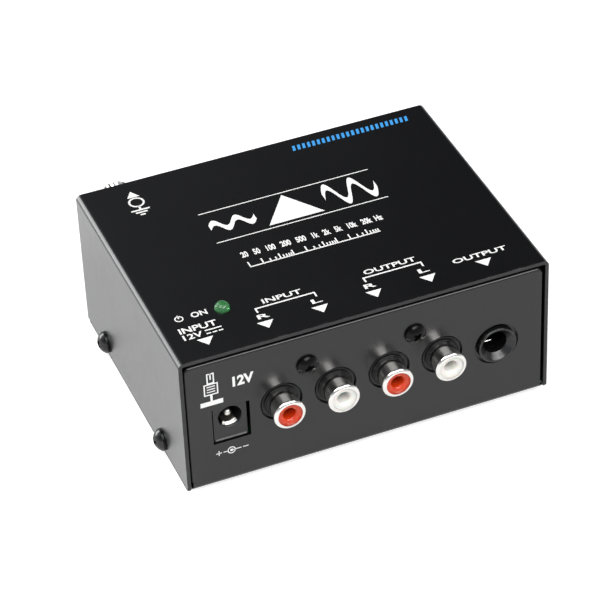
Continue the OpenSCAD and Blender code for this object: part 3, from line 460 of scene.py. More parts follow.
def pressed_flat(piece, x0, x1, y0, y1):
    """Brings a mesh to the given bounds in X and Y and to the thickness of the ink."""
    corners = [corner.co for corner in piece.data.vertices]
    low = Vector([min(corner[axis] for corner in corners) for axis in range(3)])
    high = Vector([max(corner[axis] for corner in corners) for axis in range(3)])
    goal_low = Vector((x0 * MM, y0 * MM, -ink_sink))
    goal_high = Vector((x1 * MM, y1 * MM, ink_depth - ink_sink))
    piece.scale = [(goal_high[axis] - goal_low[axis]) / (high[axis] - low[axis]) for axis in range(3)]
    return put(piece, [goal_low[axis] - low[axis] * piece.scale[axis] for axis in range(3)])


def words(layer, text, x0, x1, y0, y1, weight=0.02):
    """A line of capitals or figures that fills the given bounds."""
    line = added(bpy.ops.object.text_add)
    line.data.body = text
    line.data.offset = weight
    line.data.extrude = 0.1
    line.data.resolution_u = 4
    bpy.ops.object.convert(target="MESH")
    line = bpy.context.object
    bpy.ops.object.mode_set(mode="EDIT")
    bpy.ops.mesh.select_all(action="SELECT")
    bpy.ops.mesh.remove_doubles(threshold=0.0001)
    bpy.ops.object.mode_set(mode="OBJECT")
    layer.append(pressed_flat(line, x0, x1, y0, y1))


def bar(layer, x0, x1, y0, y1, slant=0.0):
    """A straight bar of ink, its far edge moved sideways by the slant."""
    stroke = pressed_flat(added(bpy.ops.mesh.primitive_cube_add, size=1), x0, x1, y0, y1)
    for corner in stroke.data.vertices:
        corner.co.x += slant * MM * (corner.co.y - y0 * MM) / (y1 * MM - y0 * MM)
    layer.append(stroke)


def arrow(layer, x0, x1, base, tip):
    """A solid triangle from its base to its tip, which may point to the front or the rear."""
    head = added(bpy.ops.mesh.primitive_cylinder_add, vertices=3, radius=1, depth=1)
    pressed_flat(head, x0, x1, min(base, tip), max(base, tip))
    if tip < base:
        for corner in head.data.vertices:
            corner.co.y = (base + tip) * MM - corner.co.y
        bpy.ops.object.mode_set(mode="EDIT")
        bpy.ops.mesh.select_all(action="SELECT")
        bpy.ops.mesh.normals_make_consistent(inside=False)
        bpy.ops.object.mode_set(mode="OBJECT")
    layer.append(head)


def ring(layer, x, y, radius, stroke, sides=48):
    """A round line of ink."""
    disc = added(bpy.ops.mesh.primitive_cylinder_add, vertices=sides, radius=1, depth=1)
    bpy.ops.object.mode_set(mode="EDIT")
    bpy.ops.mesh.select_mode(type="FACE")
    bpy.ops.mesh.select_all(action="DESELECT")
    bpy.ops.object.mode_set(mode="OBJECT")
    for face in disc.data.polygons:
        face.select = abs(face.normal.z) > 0.5
    bpy.ops.object.mode_set(mode="EDIT")
    bpy.ops.mesh.inset(thickness=stroke / radius)
    bpy.ops.mesh.bridge_edge_loops()
    bpy.ops.mesh.select_mode(type="VERT")
    bpy.ops.object.mode_set(mode="OBJECT")
    layer.append(pressed_flat(disc, x - radius, x + radius, y - radius, y + radius))


def wave(layer, x0, x1, y, swing, stroke, cycles, sides=60):
    """A sine line of ink with the given swing to both sides of y."""
    ribbon = added(bpy.ops.mesh.primitive_cube_add, size=1)
    pressed_flat(ribbon, x0, x1, y - stroke / 2, y + stroke / 2)
    bpy.ops.object.mode_set(mode="EDIT")
    for step in range(1, sides):
        bpy.ops.mesh.select_all(action="SELECT")
        place = (x0 + (x1 - x0) * step / sides) * MM
        bpy.ops.mesh.bisect(plane_co=(place, 0, 0), plane_no=(1, 0, 0))
    bpy.ops.object.mode_set(mode="OBJECT")
    for corner in ribbon.data.vertices:
        turn = (corner.co.x / MM - x0) / (x1 - x0) * cycles * 2 * math.pi
        corner.co.y += swing * MM * math.sin(turn)
    layer.append(ribbon)


def bracket(layer, x0, x1, y, hook, stroke):
    """A line over a pair of connectors with a hook down at each end."""
    bar(layer, x0, x1, y - stroke, y)
    bar(layer, x0, x0 + stroke, y - stroke - hook, y - stroke)
    bar(layer, x1 - stroke, x1, y - stroke - hook, y - stroke)


def printed(layer, name, material, place, turn=(0, 0, 0)):
    """Joins a layer's marks to one piece and lays it on its sheet."""
    piece = put(joined(layer), place, turn)
    piece.name = name
    fitted_out(piece, material)


white_ink = screened_ink("white_ink", ink_white)
print_stroke = 0.45
words(cover_print, "ON", -40.2, -36.0, -22.6, -20.5)
ring(cover_print, -43.4, -21.6, 1.15, 0.32, 24)
bar(cover_print, -43.57, -43.23, -21.5, -20.2)
words(cover_print, "INPUT", -45.2, -35.3, -27.6, -25.4)
words(cover_print, "12V", -45.1, -40.0, -30.3, -28.2)
bar(cover_print, -39.2, -34.8, -28.8, -28.4)
for dash in range(3):
    bar(cover_print, -39.2 + 1.6 * dash, -38.0 + 1.6 * dash, -30.1, -29.7)
arrow(cover_print, -42.3, -38.0, -31.2, -34.1)
for name, x0, x1, y1, y0, left, right, letters_y in (
    ("INPUT", -22.1, -11.6, -22.9, -24.7, -24.9, -8.7, -25.55),
    ("OUTPUT", 5.45, 19.7, -22.8, -24.6, 4.3, 20.5, -25.45),
):
    words(cover_print, name, x0, x1, y0, y1)
    bracket(cover_print, left, right, letters_y, 1.5, print_stroke)
words(cover_print, "R", -25.5, -22.4, -30.1, -28.4)
words(cover_print, "L", -11.0, -8.2, -30.0, -28.3)
words(cover_print, "R", 3.3, 6.4, -30.0, -28.3)
words(cover_print, "L", 18.1, 21.0, -29.9, -28.2)
words(cover_print, "OUTPUT", 27.6, 42.5, -30.0, -28.2)
for x0, x1 in ((-26.5, -22.1), (-11.9, -7.5), (2.7, 7.0), (17.4, 21.8), (32.8, 37.2)):
    arrow(cover_print, x0, x1, -31.3, -34.2)

# The earth mark by the terminal: an arrow to the rear, a ring and three shrinking bars
arrow(cover_print, -38.1, -34.7, 31.5, 34.2)
ring(cover_print, -36.4, 29.1, 2.15, 0.5)
bar(cover_print, -36.7, -36.1, 25.8, 27.1)
for row, half in enumerate((2.55, 1.6, 0.7)):
    bar(cover_print, -36.55 - half, -36.55 + half, 25.3 - 1.05 * row, 25.85 - 1.05 * row)

# The middle of the cover shows a signal, an amplifier and the larger signal between two rules, and
# under them a scale of frequencies
for rule_y in (17.0, 3.6):
    bar(cover_print, -23.7, 24.15, rule_y - 0.15, rule_y + 0.15)
wave(cover_print, -23.0, -10.5, 10.3, 1.7, 2.3, 2)
wave(cover_print, 8.8, 23.4, 10.3, 4.0, 2.9, 2)
arrow(cover_print, -8.6, 6.8, 4.9, 16.0)
words(cover_print, "20   50   100   200   500   1k   2k   5k   10k   20k  Hz", -19.9, 19.2, -5.0, -2.6, 0.035)
decades = 3
tick_w = 0.36
long_tick = 2.1
short_tick = 1.2
scale_left, scale_right = -19.6, 16.4
bar(cover_print, scale_left, scale_right, -9.5, -9.1)
for decade in range(decades):
    for tenth in range(1, 10):
        place = (decade + math.log10(tenth)) / decades
        x = scale_left + (scale_right - scale_left) * place
        tall = long_tick if tenth in (1, 2, 5) else short_tick
        bar(cover_print, x, x + tick_w, -9.2, -9.2 + tall)
printed(cover_print, "cover_print", white_ink, (0, case_y, cover_high.z))

blue_print = []
blue_ink = screened_ink("blue_ink", ink_blue)
stroke_count = 24
strokes_left, strokes_right = 9.5, 43.6
stroke_pitch = (strokes_right - strokes_left) / stroke_count
for step in range(stroke_count):
    left = strokes_left + step * stroke_pitch
    bar(blue_print, left, left + 0.55 * stroke_pitch, 33.1, 35.3, 0.45)
printed(blue_print, "blue_print", blue_ink, (0, case_y, cover_high.z))


# Print on the connector panel, in the same white ink: the polarity of the power plug under the inlet,
# and over the inlet a small power plug and its voltage. Heights are counted from the frame's zero.
def frame_line(layer, x0, x1, y0, y1, stroke):
    """An open oblong drawn with a line."""
    bar(layer, x0, x1, y0, y0 + stroke)
    bar(layer, x0, x1, y1 - stroke, y1)
    bar(layer, x0, x0 + stroke, y0 + stroke, y1 - stroke)
    bar(layer, x1 - stroke, x1, y0 + stroke, y1 - stroke)


to_front = (math.pi / 2, 0, 0)
panel_print = []
mark_z = 9.85 + base_z / MM
mark_half = 0.13
for x0, x1, half in (
    (-41.7, -40.2, mark_half),
    (-41.08, -40.82, 0.75),
    (-39.76, -38.75, mark_half),
    (-37.95, -37.2, 0.35),
    (-37.3, -34.96, mark_half),
    (-34.5, -33.05, mark_half),
):
    bar(panel_print, x0, x1, mark_z - half, mark_z + half)
ring(panel_print, -37.58, mark_z, 1.1, 0.27, 24)
plug_x = -41.9
plug_line = 0.34
frame_line(panel_print, plug_x - 1.9, plug_x + 1.9, 31.3, 34.9, plug_line)
frame_line(panel_print, plug_x - 1.0, plug_x + 1.0, 34.9, 38.2, plug_line)
bar(panel_print, plug_x - plug_line / 2, plug_x + plug_line / 2, 36.2, 38.2)
for groove_z in (32.2, 33.0, 33.8):
    bar(panel_print, plug_x - 1.1, plug_x + 1.1, groove_z, groove_z + 0.3)
bar(panel_print, plug_x - 0.3, plug_x + 0.3, 29.4, 31.4)
bar(panel_print, plug_x - 3.0, plug_x + 3.0, 28.0, 29.4)
words(panel_print, "12V", -36.2, -30.6, 31.9, 35.1, 0.04)
printed(panel_print, "panel_print", white_ink, (0, panel_low.y, 0), to_front)


# Screws. They are black steel with a low dome and a cross recess. Four hold the cover to the side
# lips of the chassis and two hold the connector blocks to the panel.
def arc(radius, height, bend, first, last, steps=5):
    """Points on an arc of an outline, as radii and heights, between two angles in degrees."""
    turns = [math.radians(first + (last - first) * step / steps) for step in range(steps + 1)]
    return [(radius + bend * math.cos(turn), height + bend * math.sin(turn)) for turn in turns]


def turned(name, outline, sides=64):
    """Turns a closed outline of radii and heights, in millimetres, about the Z axis."""
    # A pole stands as a tiny ring, so that it can grow to the next ring, and is merged at the end
    pole = 0.0004
    points = [(max(radius, pole) * MM, height * MM) for radius, height in outline]
    radius, height = points[0]
    piece = added(bpy.ops.mesh.primitive_circle_add, vertices=sides, radius=radius)
    piece.name = name
    bpy.ops.object.mode_set(mode="EDIT")
    bpy.ops.mesh.select_all(action="SELECT")
    bpy.ops.transform.translate(value=(0, 0, height))
    for next_radius, next_height in points[1:] + points[:1]:
        rise = {"value": (0, 0, next_height - height)}
        bpy.ops.mesh.extrude_edges_move(TRANSFORM_OT_translate=rise)
        share = next_radius / radius
        bpy.ops.transform.resize(value=(share, share, 1), center_override=(0, 0, next_height))
        radius, height = next_radius, next_height
    bpy.ops.mesh.select_all(action="SELECT")
    bpy.ops.mesh.remove_doubles(threshold=0.002 * MM)
    bpy.ops.mesh.normals_make_consistent(inside=False)
    bpy.ops.object.mode_set(mode="OBJECT")
    bpy.ops.object.shade_smooth_by_angle(angle=math.radians(35))
    return piece


def block(name, size, place, turn=(0, 0, 0)):
    """A block of the given size in millimetres, turned and put in its place."""
    piece = added(bpy.ops.mesh.primitive_cube_add, size=1)
    piece.name = name
    piece.scale = [side * MM for side in size]
    return put(piece, place, turn)


def like(piece, name):
    """A copy of a piece with a mesh of its own."""
    twin = piece.copy()
    twin.data = piece.data.copy()
    twin.name = name
    bpy.context.scene.collection.objects.link(twin)
    return twin


def cut(piece, tool):
    """Cuts the tool's shape out of a piece and removes the tool."""
    only(piece)
    bpy.ops.object.modifier_add(type="BOOLEAN")
    piece.modifiers[-1].object = tool
    piece.modifiers[-1].operation = "DIFFERENCE"
    piece.modifiers[-1].solver = "EXACT"
    bpy.ops.object.modifier_apply(modifier=piece.modifiers[-1].name)
    bpy.data.objects.remove(tool)


def black_steel(name, shine):
    """Blackened and lightly oiled steel, brighter where the tools have touched it."""
    material, tree, shader = finish(name, {"IOR": shine})
    worn = ramp(tree, speckle(tree, 1500.0, 3.0), 0.6, 0.85, 0.0, 0.4)
    coloured(tree, shader, worn, (0.003, 0.003, 0.003), (0.012, 0.012, 0.013))
    uneven_gloss(tree, shader, 700.0, 0.12, 0.18)
    grained(tree, shader, 4000.0, 0.004 * MM)
    return material


def cross_screw(name, head_r, head_h, length):
    """A domed screw that stands on z = 0, its shank below, with a tapered cross recess."""
    shank_r = 1.5
    rim = 0.6
    recess_size = (3.5, 0.95, 2.2)
    recess_z = (head_h - 0.2) * MM
    end_taper = 0.35
    wall_taper = 0.75
    cap = head_h - rim
    dome_r = (head_r ** 2 + cap ** 2) / (2 * cap)
    spread = math.degrees(math.asin(head_r / dome_r))
    dome = arc(0, head_h - dome_r, dome_r, 90 - spread, 90, 7)
    dome[0] = (head_r, rim + 0.04)
    outline = [(0, -length), (shank_r - 0.4, -length), (shank_r, 0.4 - length), (shank_r, 0)]
    outline += [(head_r - 0.15, 0), (head_r, 0.15)] + dome
    screw = turned(name, outline, 48)
    for turn in (0, 90):
        wing = block("wing", recess_size, (0, 0, recess_z), (0, 0, math.radians(turn)))
        for corner in wing.data.vertices:
            if corner.co.z < recess_z:
                corner.co.x *= end_taper if turn == 0 else wall_taper
                corner.co.y *= wall_taper if turn == 0 else end_taper
        cut(screw, wing)
    only(screw)
    bpy.ops.object.shade_smooth_by_angle(angle=math.radians(30))
    return screw


def driven_home(name, model, places, first_turn, next_turn, steel, solid):
    """Copies a screw to its places, each stopped at another angle, and joins them to one piece."""
    screws = []
    for place, lean in places:
        screw = like(model, name)
        screw.data.transform(Matrix.Rotation(first_turn + next_turn * len(screws), 4, "Z"))
        screws.append(put(screw, place, lean))
    bpy.data.objects.remove(model)
    fitted_out(joined(screws), steel, solid)


screws_low, screws_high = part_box("cover_screws")
cover_head_r = 3.0
cover_head_h = (screws_high.x - cover_high.x) / MM
cover_screw_z = (screws_low.z + screws_high.z) / 2
cover_screw = cross_screw("cover_screw_set", cover_head_r, cover_head_h, 6.0)
places = []
for side in (-1, 1):
    for y in (screws_low.y + cover_head_r * MM, screws_high.y - cover_head_r * MM):
        places.append(((side * cover_high.x, y, cover_screw_z), (0, side * math.pi / 2, 0)))
screw_black = black_steel("screw_black", 1.6)
driven_home("cover_screw_set", cover_screw, places, 0.4, 0.9, screw_black, "cover_screws")

screws_low, screws_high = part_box("block_screws")
panel_head_r = 2.85
panel_head_h = (panel_low.y - screws_low.y) / MM
panel_screw_z = (screws_low.z + screws_high.z) / 2
panel_screw = cross_screw("block_screw_pair", panel_head_r, panel_head_h, 8.0)
places = []
for x in (screws_low.x + panel_head_r * MM, screws_high.x - panel_head_r * MM):
    places.append(((x, panel_low.y, panel_screw_z), to_front))
panel_screw_black = black_steel("panel_screw_black", 1.28)
driven_home("block_screw_pair", panel_screw, places, 0.25, 0.5, panel_screw_black, "block_screws")


# Feet. Four discs of black rubber, moulded with a rounded rim and a shallow ring in the sole. They are
# stuck under the corners of the floor.
foot_low, foot_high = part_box("rubber_feet")
foot_r = 4.5
foot_h = (foot_high.z - foot_low.z) / MM
foot_rim = 0.6
sole = [(0, 0.3), (2.2, 0.3), (2.5, 0.05), (2.7, 0.0)]
foot_outline = sole + arc(foot_r - foot_rim, foot_rim, foot_rim, -90, 0) + [(foot_r, foot_h), (0, foot_h)]
foot_rubber, tree, shader = finish("foot_rubber", {"IOR": 1.5})
scuffed = ramp(tree, speckle(tree, 600.0, 4.0), 0.45, 0.75, 0.0, 0.6)
coloured(tree, shader, scuffed, (0.012, 0.012, 0.012), (0.035, 0.033, 0.03))
uneven_gloss(tree, shader, 300.0, 0.62, 0.8)
grained(tree, shader, 3000.0, 0.02 * MM)
foot = turned("foot_set", foot_outline)
feet = []
for x in (foot_low.x + foot_r * MM, foot_high.x - foot_r * MM):
    for y in (foot_low.y + foot_r * MM, foot_high.y - foot_r * MM):
        feet.append(put(like(foot, "foot_set"), (x, y, 0)))
bpy.data.objects.remove(foot)
fitted_out(joined(feet), foot_rubber, "rubber_feet")


# Connector blocks, power inlet and jack body. They are moulded in black plastic with a fine matt skin,
# stand on the board and reach through the holes of the panel.
def moulding(name, colour, gloss, grain, shine=1.46):
    """Moulded plastic of one colour with faint flow marks."""
    material, tree, shader = finish(name, {"IOR": shine})
    flow = ramp(tree, speckle(tree, 250.0, 3.0, (1, 1, 4)), 0.35, 0.7)
    coloured(tree, shader, flow, colour, [min(1.0, 1.25 * part + 0.002) for part in colour])
    uneven_gloss(tree, shader, 900.0, gloss - 0.05, gloss + 0.06)
    grained(tree, shader, 6000.0, grain)
    return material


def dressed(name, solid, edge, material, steps=2, body="case"):
    """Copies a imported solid, rounds its edges by the given millimetres and fits it out."""
    fitted_out(rounded(copied_solid(name, solid), edge * MM, steps), material, solid, body)


black_moulding = moulding("black_moulding", (0.006, 0.006, 0.0065), 0.36, 0.006 * MM)
glossy_moulding = moulding("glossy_moulding", (0.003, 0.003, 0.0033), 0.29, 0.002 * MM, 1.58)
inlet_black = moulding("inlet_black", (0.009, 0.009, 0.01), 0.38, 0.006 * MM, 1.52)
dressed("input_block_body", "input_block", 0.12, black_moulding, 4)
dressed("output_block_body", "output_block", 0.12, black_moulding, 4)
dressed("inlet_moulding", "inlet_body", 0.4, inlet_black, 4)

# A shallow chamfered ledge runs along the foot of the inlet's face
inlet_low, inlet_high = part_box("inlet_body")
inlet_foot = 13.45
ledge_w = 8.9
ledge_d = 0.8
ledge_h = 0.7
ledge_out = 0.32
ledge_x = (inlet_low.x + inlet_high.x) / 2
ledge_y = inlet_low.y + (ledge_d / 2 - ledge_out) * MM
ledge_z = base_z + (inlet_foot + ledge_h / 2) * MM
ledge = block("inlet_ledge", (ledge_w, ledge_d, ledge_h), (ledge_x, ledge_y, ledge_z))
fitted_out(rounded(ledge, 0.3 * MM, 1), inlet_black)

# The jack's body ends behind the panel. Its bushing, turned smooth in the mould, reaches through.
jack_low, jack_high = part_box("jack_body")
jack_x = (jack_low.x + jack_high.x) / 2
jack_z = base_z + 19.2 * MM
bushing_back = panel_low.y + 0.6 * MM
bushing_l = (bushing_back - jack_low.y) / MM
bushing_r = 5.3
bushing_bore = 3.2
bushing_mouth = 4.6
bushing_rim = 0.35
nose_l = 4
nose_w = 20
jack_body = copied_solid("jack_moulding", "jack_body")
cut(jack_body, block("nose", (nose_w, nose_l, nose_w), (jack_x, bushing_back - nose_l / 2 * MM, jack_z)))
fitted_out(rounded(jack_body, 0.12 * MM), glossy_moulding, "jack_body")
bushing_outline = [(bushing_bore, 0), (bushing_r, 0)]
bushing_outline += arc(bushing_r - bushing_rim, bushing_l - bushing_rim, bushing_rim, 0, 130, 7)
bushing_outline += [(bushing_mouth, bushing_l - 0.2), (bushing_bore + 0.15, 0.15)]
bushing = put(turned("jack_bushing", bushing_outline, 96), (jack_x, bushing_back, jack_z), to_front)
fitted_out(bushing, glossy_moulding, "jack_body")


# Phono connectors. A thin brass barrel, drawn and nickel plated, has a rolled rim and stands in a black
# ring of the block. A coloured insert inside it holds the spring sleeve for the plug's pin.
def plated(name, colour, gloss, wear):
    """Bright plated metal with fine turning marks and a few dull spots."""
    material, tree, shader = finish(name, {"Metallic": 1.0})
    dull = ramp(tree, speckle(tree, 800.0, 4.0), 0.5, 0.8, 0.0, 0.7)
    coloured(tree, shader, dull, colour, [wear * part for part in colour])
    uneven_gloss(tree, shader, 1200.0, gloss, gloss + 0.08, 3.0, 0.8)
    bumped(tree, shader, speckle(tree, 700.0, 2.0, (1, 12, 1)), 0.0006 * MM)
    return material


bright_nickel = plated("bright_nickel", (0.94, 0.92, 0.88), 0.13, 0.9)
spring_metal = plated("spring_metal", (0.82, 0.8, 0.75), 0.28, 0.8)
contact_tin = plated("contact_tin", (0.72, 0.66, 0.56), 0.36, 0.8)
shell_low, shell_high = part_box("input_right_shell")
phono_z = (shell_low.z + shell_high.z) / 2
reach = (panel_low.y - shell_low.y) / MM
tail = (panel_low.y - shell_high.y) / MM
barrel_r = 3.95
bore_r = 3.55
rim_r = 4.3
lip_r = 3.28
roll = 0.75
shell_outline = [(bore_r, tail), (barrel_r, tail), (barrel_r, reach - roll - 0.35)]
shell_outline += [(4.1, reach - roll - 0.3), (4.24, reach - roll - 0.18)]
rolled = [(lip_r + (rim_r - lip_r) * out, reach - roll + roll * up) for out, up in arc(0, 0, 1, 0, 84, 10)]
shell_outline += rolled + [(lip_r, reach - 0.06), (lip_r, reach - 0.3), (bore_r, reach - 0.36)]
collar_r = (shell_high.x - shell_low.x) / 2 / MM
collar_bore = barrel_r + 0.01
collar_rim = 0.3
collar_outline = [(collar_bore, -0.25), (collar_r - collar_rim, -0.25)]
collar_outline += arc(collar_r - collar_rim, 0.05, collar_rim, -90, 90, 8) + [(4.36, 0.22), (4.3, 0.1)]
collar_outline += arc(4.13, 0.3, 0.17, -35, 120, 5) + [(collar_bore, 0.4)]
insert_r = 3.5
insert_bore = 1.65
insert_step = 1.9
sleeve_r = 2.1
sleeve_bore = 1.5
sleeve_top = 1.84
insert_outline = [(sleeve_r + 0.05, tail), (insert_r, tail), (insert_r, reach - 0.6)]
insert_outline += [(insert_r - 0.05, reach - 0.5), (3.25, reach - 0.45), (2.35, reach - 0.48)]
insert_outline += [(2.1, reach - 0.56), (1.75, reach - 0.9), (insert_bore, reach - 1.15)]
insert_outline += [(insert_bore, insert_step), (sleeve_r + 0.05, insert_step)]
sleeve_outline = [(0.5, tail), (sleeve_r, tail), (sleeve_r, sleeve_top - 0.14)]
sleeve_outline += [(sleeve_r - 0.1, sleeve_top), (sleeve_bore + 0.12, sleeve_top)]
sleeve_outline += [(sleeve_bore, sleeve_top - 0.14), (sleeve_bore, tail + 0.4), (0.5, tail + 0.4)]


def glossy_plastic(name, colour, shade):
    """Glossy insert plastic, a little clear, with darker flow marks."""
    constants = {
        "IOR": 1.42, "Subsurface Weight": 0.25, "Subsurface Scale": 0.6 * MM,
        "Coat Weight": 0.35, "Coat Roughness": 0.08,
    }
    material, tree, shader = finish(name, constants)
    flow = ramp(tree, speckle(tree, 500.0, 3.0), 0.35, 0.75)
    coloured(tree, shader, flow, colour, shade)
    uneven_gloss(tree, shader, 900.0, 0.2, 0.32)
    grained(tree, shader, 3000.0, 0.004 * MM)
    return material


collar_black = moulding("collar_black", (0.003, 0.003, 0.0033), 0.2, 0.002 * MM, 1.36)
insert_red = glossy_plastic("insert_red", (0.6, 0.042, 0.005), (0.5, 0.032, 0.004))
insert_white = glossy_plastic("insert_white", (0.8, 0.79, 0.74), (0.74, 0.73, 0.68))
shell_model = turned("shell_model", shell_outline, 96)
collar_model = turned("collar_model", collar_outline, 96)
insert_model = turned("insert_model", insert_outline, 64)
sleeve_model = turned("sleeve_model", sleeve_outline, 48)
slit_size = (6, 0.18, 4)
slit_z = 2.6 * MM
for turn in (20, 110):
    cut(sleeve_model, block("slit", slit_size, (0, 0, slit_z), (0, 0, math.radians(turn))))
only(sleeve_model)
bpy.ops.object.shade_smooth_by_angle(angle=math.radians(35))
for place in ("input_right", "input_left", "output_right", "output_left"):
    low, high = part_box(place + "_shell")
    at = ((low.x + high.x) / 2, panel_low.y, phono_z)
    barrel = put(like(shell_model, place + "_barrel"), at, to_front)
    fitted_out(barrel, bright_nickel, place + "_shell")
    collar = put(like(collar_model, place + "_collar"), at, to_front)
    fitted_out(collar, collar_black, place + "_shell")
    insert = put(like(insert_model, place + "_insulator"), at, to_front)
    red = place.endswith("right")
    colour, slot = (insert_red, "red_plastic") if red else (insert_white, "white_plastic")
    fitted_out(insert, colour, place + "_insert")

    # Behind the new sleeve, the contact keeps the tag of its solid
    tag = copied_solid(place + "_tag", place + "_contact")
    bpy.ops.object.mode_set(mode="EDIT")
    bpy.ops.mesh.select_all(action="SELECT")
    cut_y = panel_low.y - (tail + 0.05) * MM
    bpy.ops.mesh.bisect(plane_co=(0, cut_y, 0), plane_no=(0, -1, 0), clear_outer=True, use_fill=True)
    bpy.ops.object.mode_set(mode="OBJECT")
    bpy.ops.object.shade_smooth_by_angle(angle=math.radians(35))
    sleeve = put(like(sleeve_model, place + "_sleeve"), at, to_front)
    fitted_out(joined([sleeve, tag]), contact_tin, place + "_contact")
for model in (shell_model, collar_model, insert_model, sleeve_model):
    bpy.data.objects.remove(model)


# Metal of the power inlet, nickel plated: a turned centre pin with a round tip, and a bent spring that
# lines the bottom of the bore and presses on the plug's barrel.
pin_low, pin_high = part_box("inlet_pin")
inlet_x = (pin_low.x + pin_high.x) / 2
inlet_z = (pin_low.z + pin_high.z) / 2
pin_r = (pin_high.x - pin_low.x) / 2 / MM
pin_l = (pin_high.y - pin_low.y) / MM
pin_outline = [(0, 0), (pin_r, 0)] + arc(0, pin_l - pin_r, pin_r, 0, 90, 8)
pin = put(turned("inlet_centre_pin", pin_outline, 48), (inlet_x, pin_high.y, inlet_z), to_front)
fitted_out(pin, spring_metal, "inlet_pin")

# The spring starts behind the face, spans an arc to both sides of the bottom, and rises from its
# front lip over the lead-in
spring_wall = 0.16
spring_half = 44
spring_front = 0.5
spring_l = 5.5
spring_r = 3.02
spring_rise = 0.6
lead_in = 0.8
strip = added(bpy.ops.mesh.primitive_grid_add, x_subdivisions=40, y_subdivisions=40, size=1)
strip.name = "inlet_spring_strip"
for corner in strip.data.vertices:
    turn = math.radians(270 + 2 * spring_half * corner.co.x)
    along = max(corner.co.y + 0.5, 0.0) ** 1.5
    depth = spring_front + spring_l * along
    share = min((depth - spring_front) / lead_in, 1.0)
    radius = spring_r - spring_rise * (3 * share ** 2 - 2 * share ** 3)
    across, rise = radius * math.cos(turn), radius * math.sin(turn)
    corner.co = (inlet_x + across * MM, inlet_low.y + depth * MM, inlet_z + rise * MM)
only(strip)
bpy.ops.object.modifier_add(type="SOLIDIFY")
strip.modifiers[-1].thickness = spring_wall * MM
strip.modifiers[-1].offset = 0
bpy.ops.object.modifier_apply(modifier=strip.modifiers[-1].name)
bpy.ops.object.mode_set(mode="EDIT")
bpy.ops.mesh.select_all(action="SELECT")
bpy.ops.mesh.normals_make_consistent(inside=False)
bpy.ops.object.mode_set(mode="OBJECT")
bpy.ops.object.shade_smooth_by_angle(angle=math.radians(50))
fitted_out(strip, spring_metal)
dressed("inlet_spring_tag", "inlet_spring", 0.05, spring_metal)


# Springs of the jack: strips of plated bronze, bent and set in slots of the bore, which touch the
# plug's tip, ring and sleeve. A short finger of the sleeve spring stands into the mouth of the bore
# and yields to the plug.
for name in ("jack_tip_spring", "jack_ring_spring", "jack_sleeve_spring"):
    dressed(name + "_strip", name, 0.05, spring_metal)
finger_size = (2.3, 0.22, 0.08)
finger_place = (jack_x - 2.1 * MM, jack_low.y + 2.2 * MM, jack_z + 0.7 * MM)
finger = block("jack_sleeve_finger", finger_size, finger_place, (math.radians(52), 0, 0))
fitted_out(rounded(finger, 0.02 * MM), spring_metal)


# Power lamp. A green tinted resin dome with its flange below the cover. In the resin sit the two ends
# of the tinned lead frame, one of them a small cup with the chip that glows.
lens_low, lens_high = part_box("lamp_lens")
lamp_shift = 0.1
flange_step = 0.5
lamp_x = (lens_low.x + lens_high.x) / 2 - lamp_shift * MM
lamp_y = (lens_low.y + lens_high.y) / 2
lamp_r = (lens_high.x - lens_low.x) / 2 / MM - flange_step
lamp_l = (lens_high.z - lens_low.z) / MM
flange_r = lamp_r + 0.35
flange_h = 1.0
lens_outline = [(0, 0), (flange_r - 0.1, 0), (flange_r, 0.1), (flange_r, flange_h - 0.1)]
lens_outline += [(flange_r - 0.1, flange_h), (lamp_r, flange_h)]
lens_outline += arc(0, lamp_l - lamp_r, lamp_r, 0, 90, 14)
constants = {
    "IOR": 1.5, "Transmission Weight": 0.8, "Roughness": 0.16,
    "Emission Color": (0.03, 0.4, 0.08, 1), "Emission Strength": 0.07,
}
resin, tree, shader = finish("green_resin", constants)
cloud = ramp(tree, speckle(tree, 420.0, 3.0), 0.35, 0.7)
coloured(tree, shader, cloud, (0.1, 0.42, 0.15), (0.2, 0.55, 0.25))
grained(tree, shader, 1500.0, 0.002 * MM)
lens = put(turned("lamp_dome", lens_outline), (lamp_x, lamp_y, lens_low.z))
fitted_out(lens, resin, "lamp_lens")
lead_metal = plated("tinned_lead", (0.74, 0.74, 0.72), 0.3, 0.8)
lead_parts = [copied_solid("lamp_lead_frame", "lamp_leads")]
lead_gap = 1.27
lead_sink = 0.4
for side, top, half_w in ((-1, 6.4, 0.75), (1, 6.2, 0.4)):
    lead_x = lamp_x + side * (lead_gap - 0.35 * half_w) * MM
    lead_z = lens_low.z + (top - lead_sink) / 2 * MM
    end = block("lead_end", (2 * half_w, 0.5, top + lead_sink), (lead_x, lamp_y, lead_z))
    lead_parts.append(rounded(end, 0.08 * MM))
fitted_out(joined(lead_parts), lead_metal, "lamp_leads")
white_tube = moulding("spacer_white", (0.7, 0.69, 0.64), 0.4, 0.006 * MM)
dressed("lamp_spacer_tube", "lamp_spacer", 0.15, white_tube)


# Ground terminal. A nickel plated brass post with a thread, fixed by a hexagonal nut. The ridged thumb
# nut drives a washer that clamps the fork of a turntable's ground wire.
satin_nickel = plated("satin_nickel", (0.95, 0.94, 0.92), 0.34, 0.92)
post_low, post_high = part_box("ground_post")
post_x = (post_low.x + post_high.x) / 2
post_z = (post_low.z + post_high.z) / 2
post_r = 2.0
post_head_r = (post_high.x - post_low.x) / 2 / MM
post_head_h = 2.0
post_l = (post_high.y - post_low.y) / MM
thread_pitch = 0.7
thread_depth = 0.3
thread_from = 3.6
post_outline = [(0, 0), (post_head_r - 0.2, 0), (post_head_r, 0.2), (post_head_r, post_head_h - 0.2)]
post_outline += [(post_head_r - 0.2, post_head_h), (post_r, post_head_h), (post_r, thread_from)]
ridge = thread_from
while ridge + thread_pitch < post_l - 0.5:
    post_outline += [(post_r - thread_depth, ridge + thread_pitch / 2), (post_r, ridge + thread_pitch)]
    ridge += thread_pitch
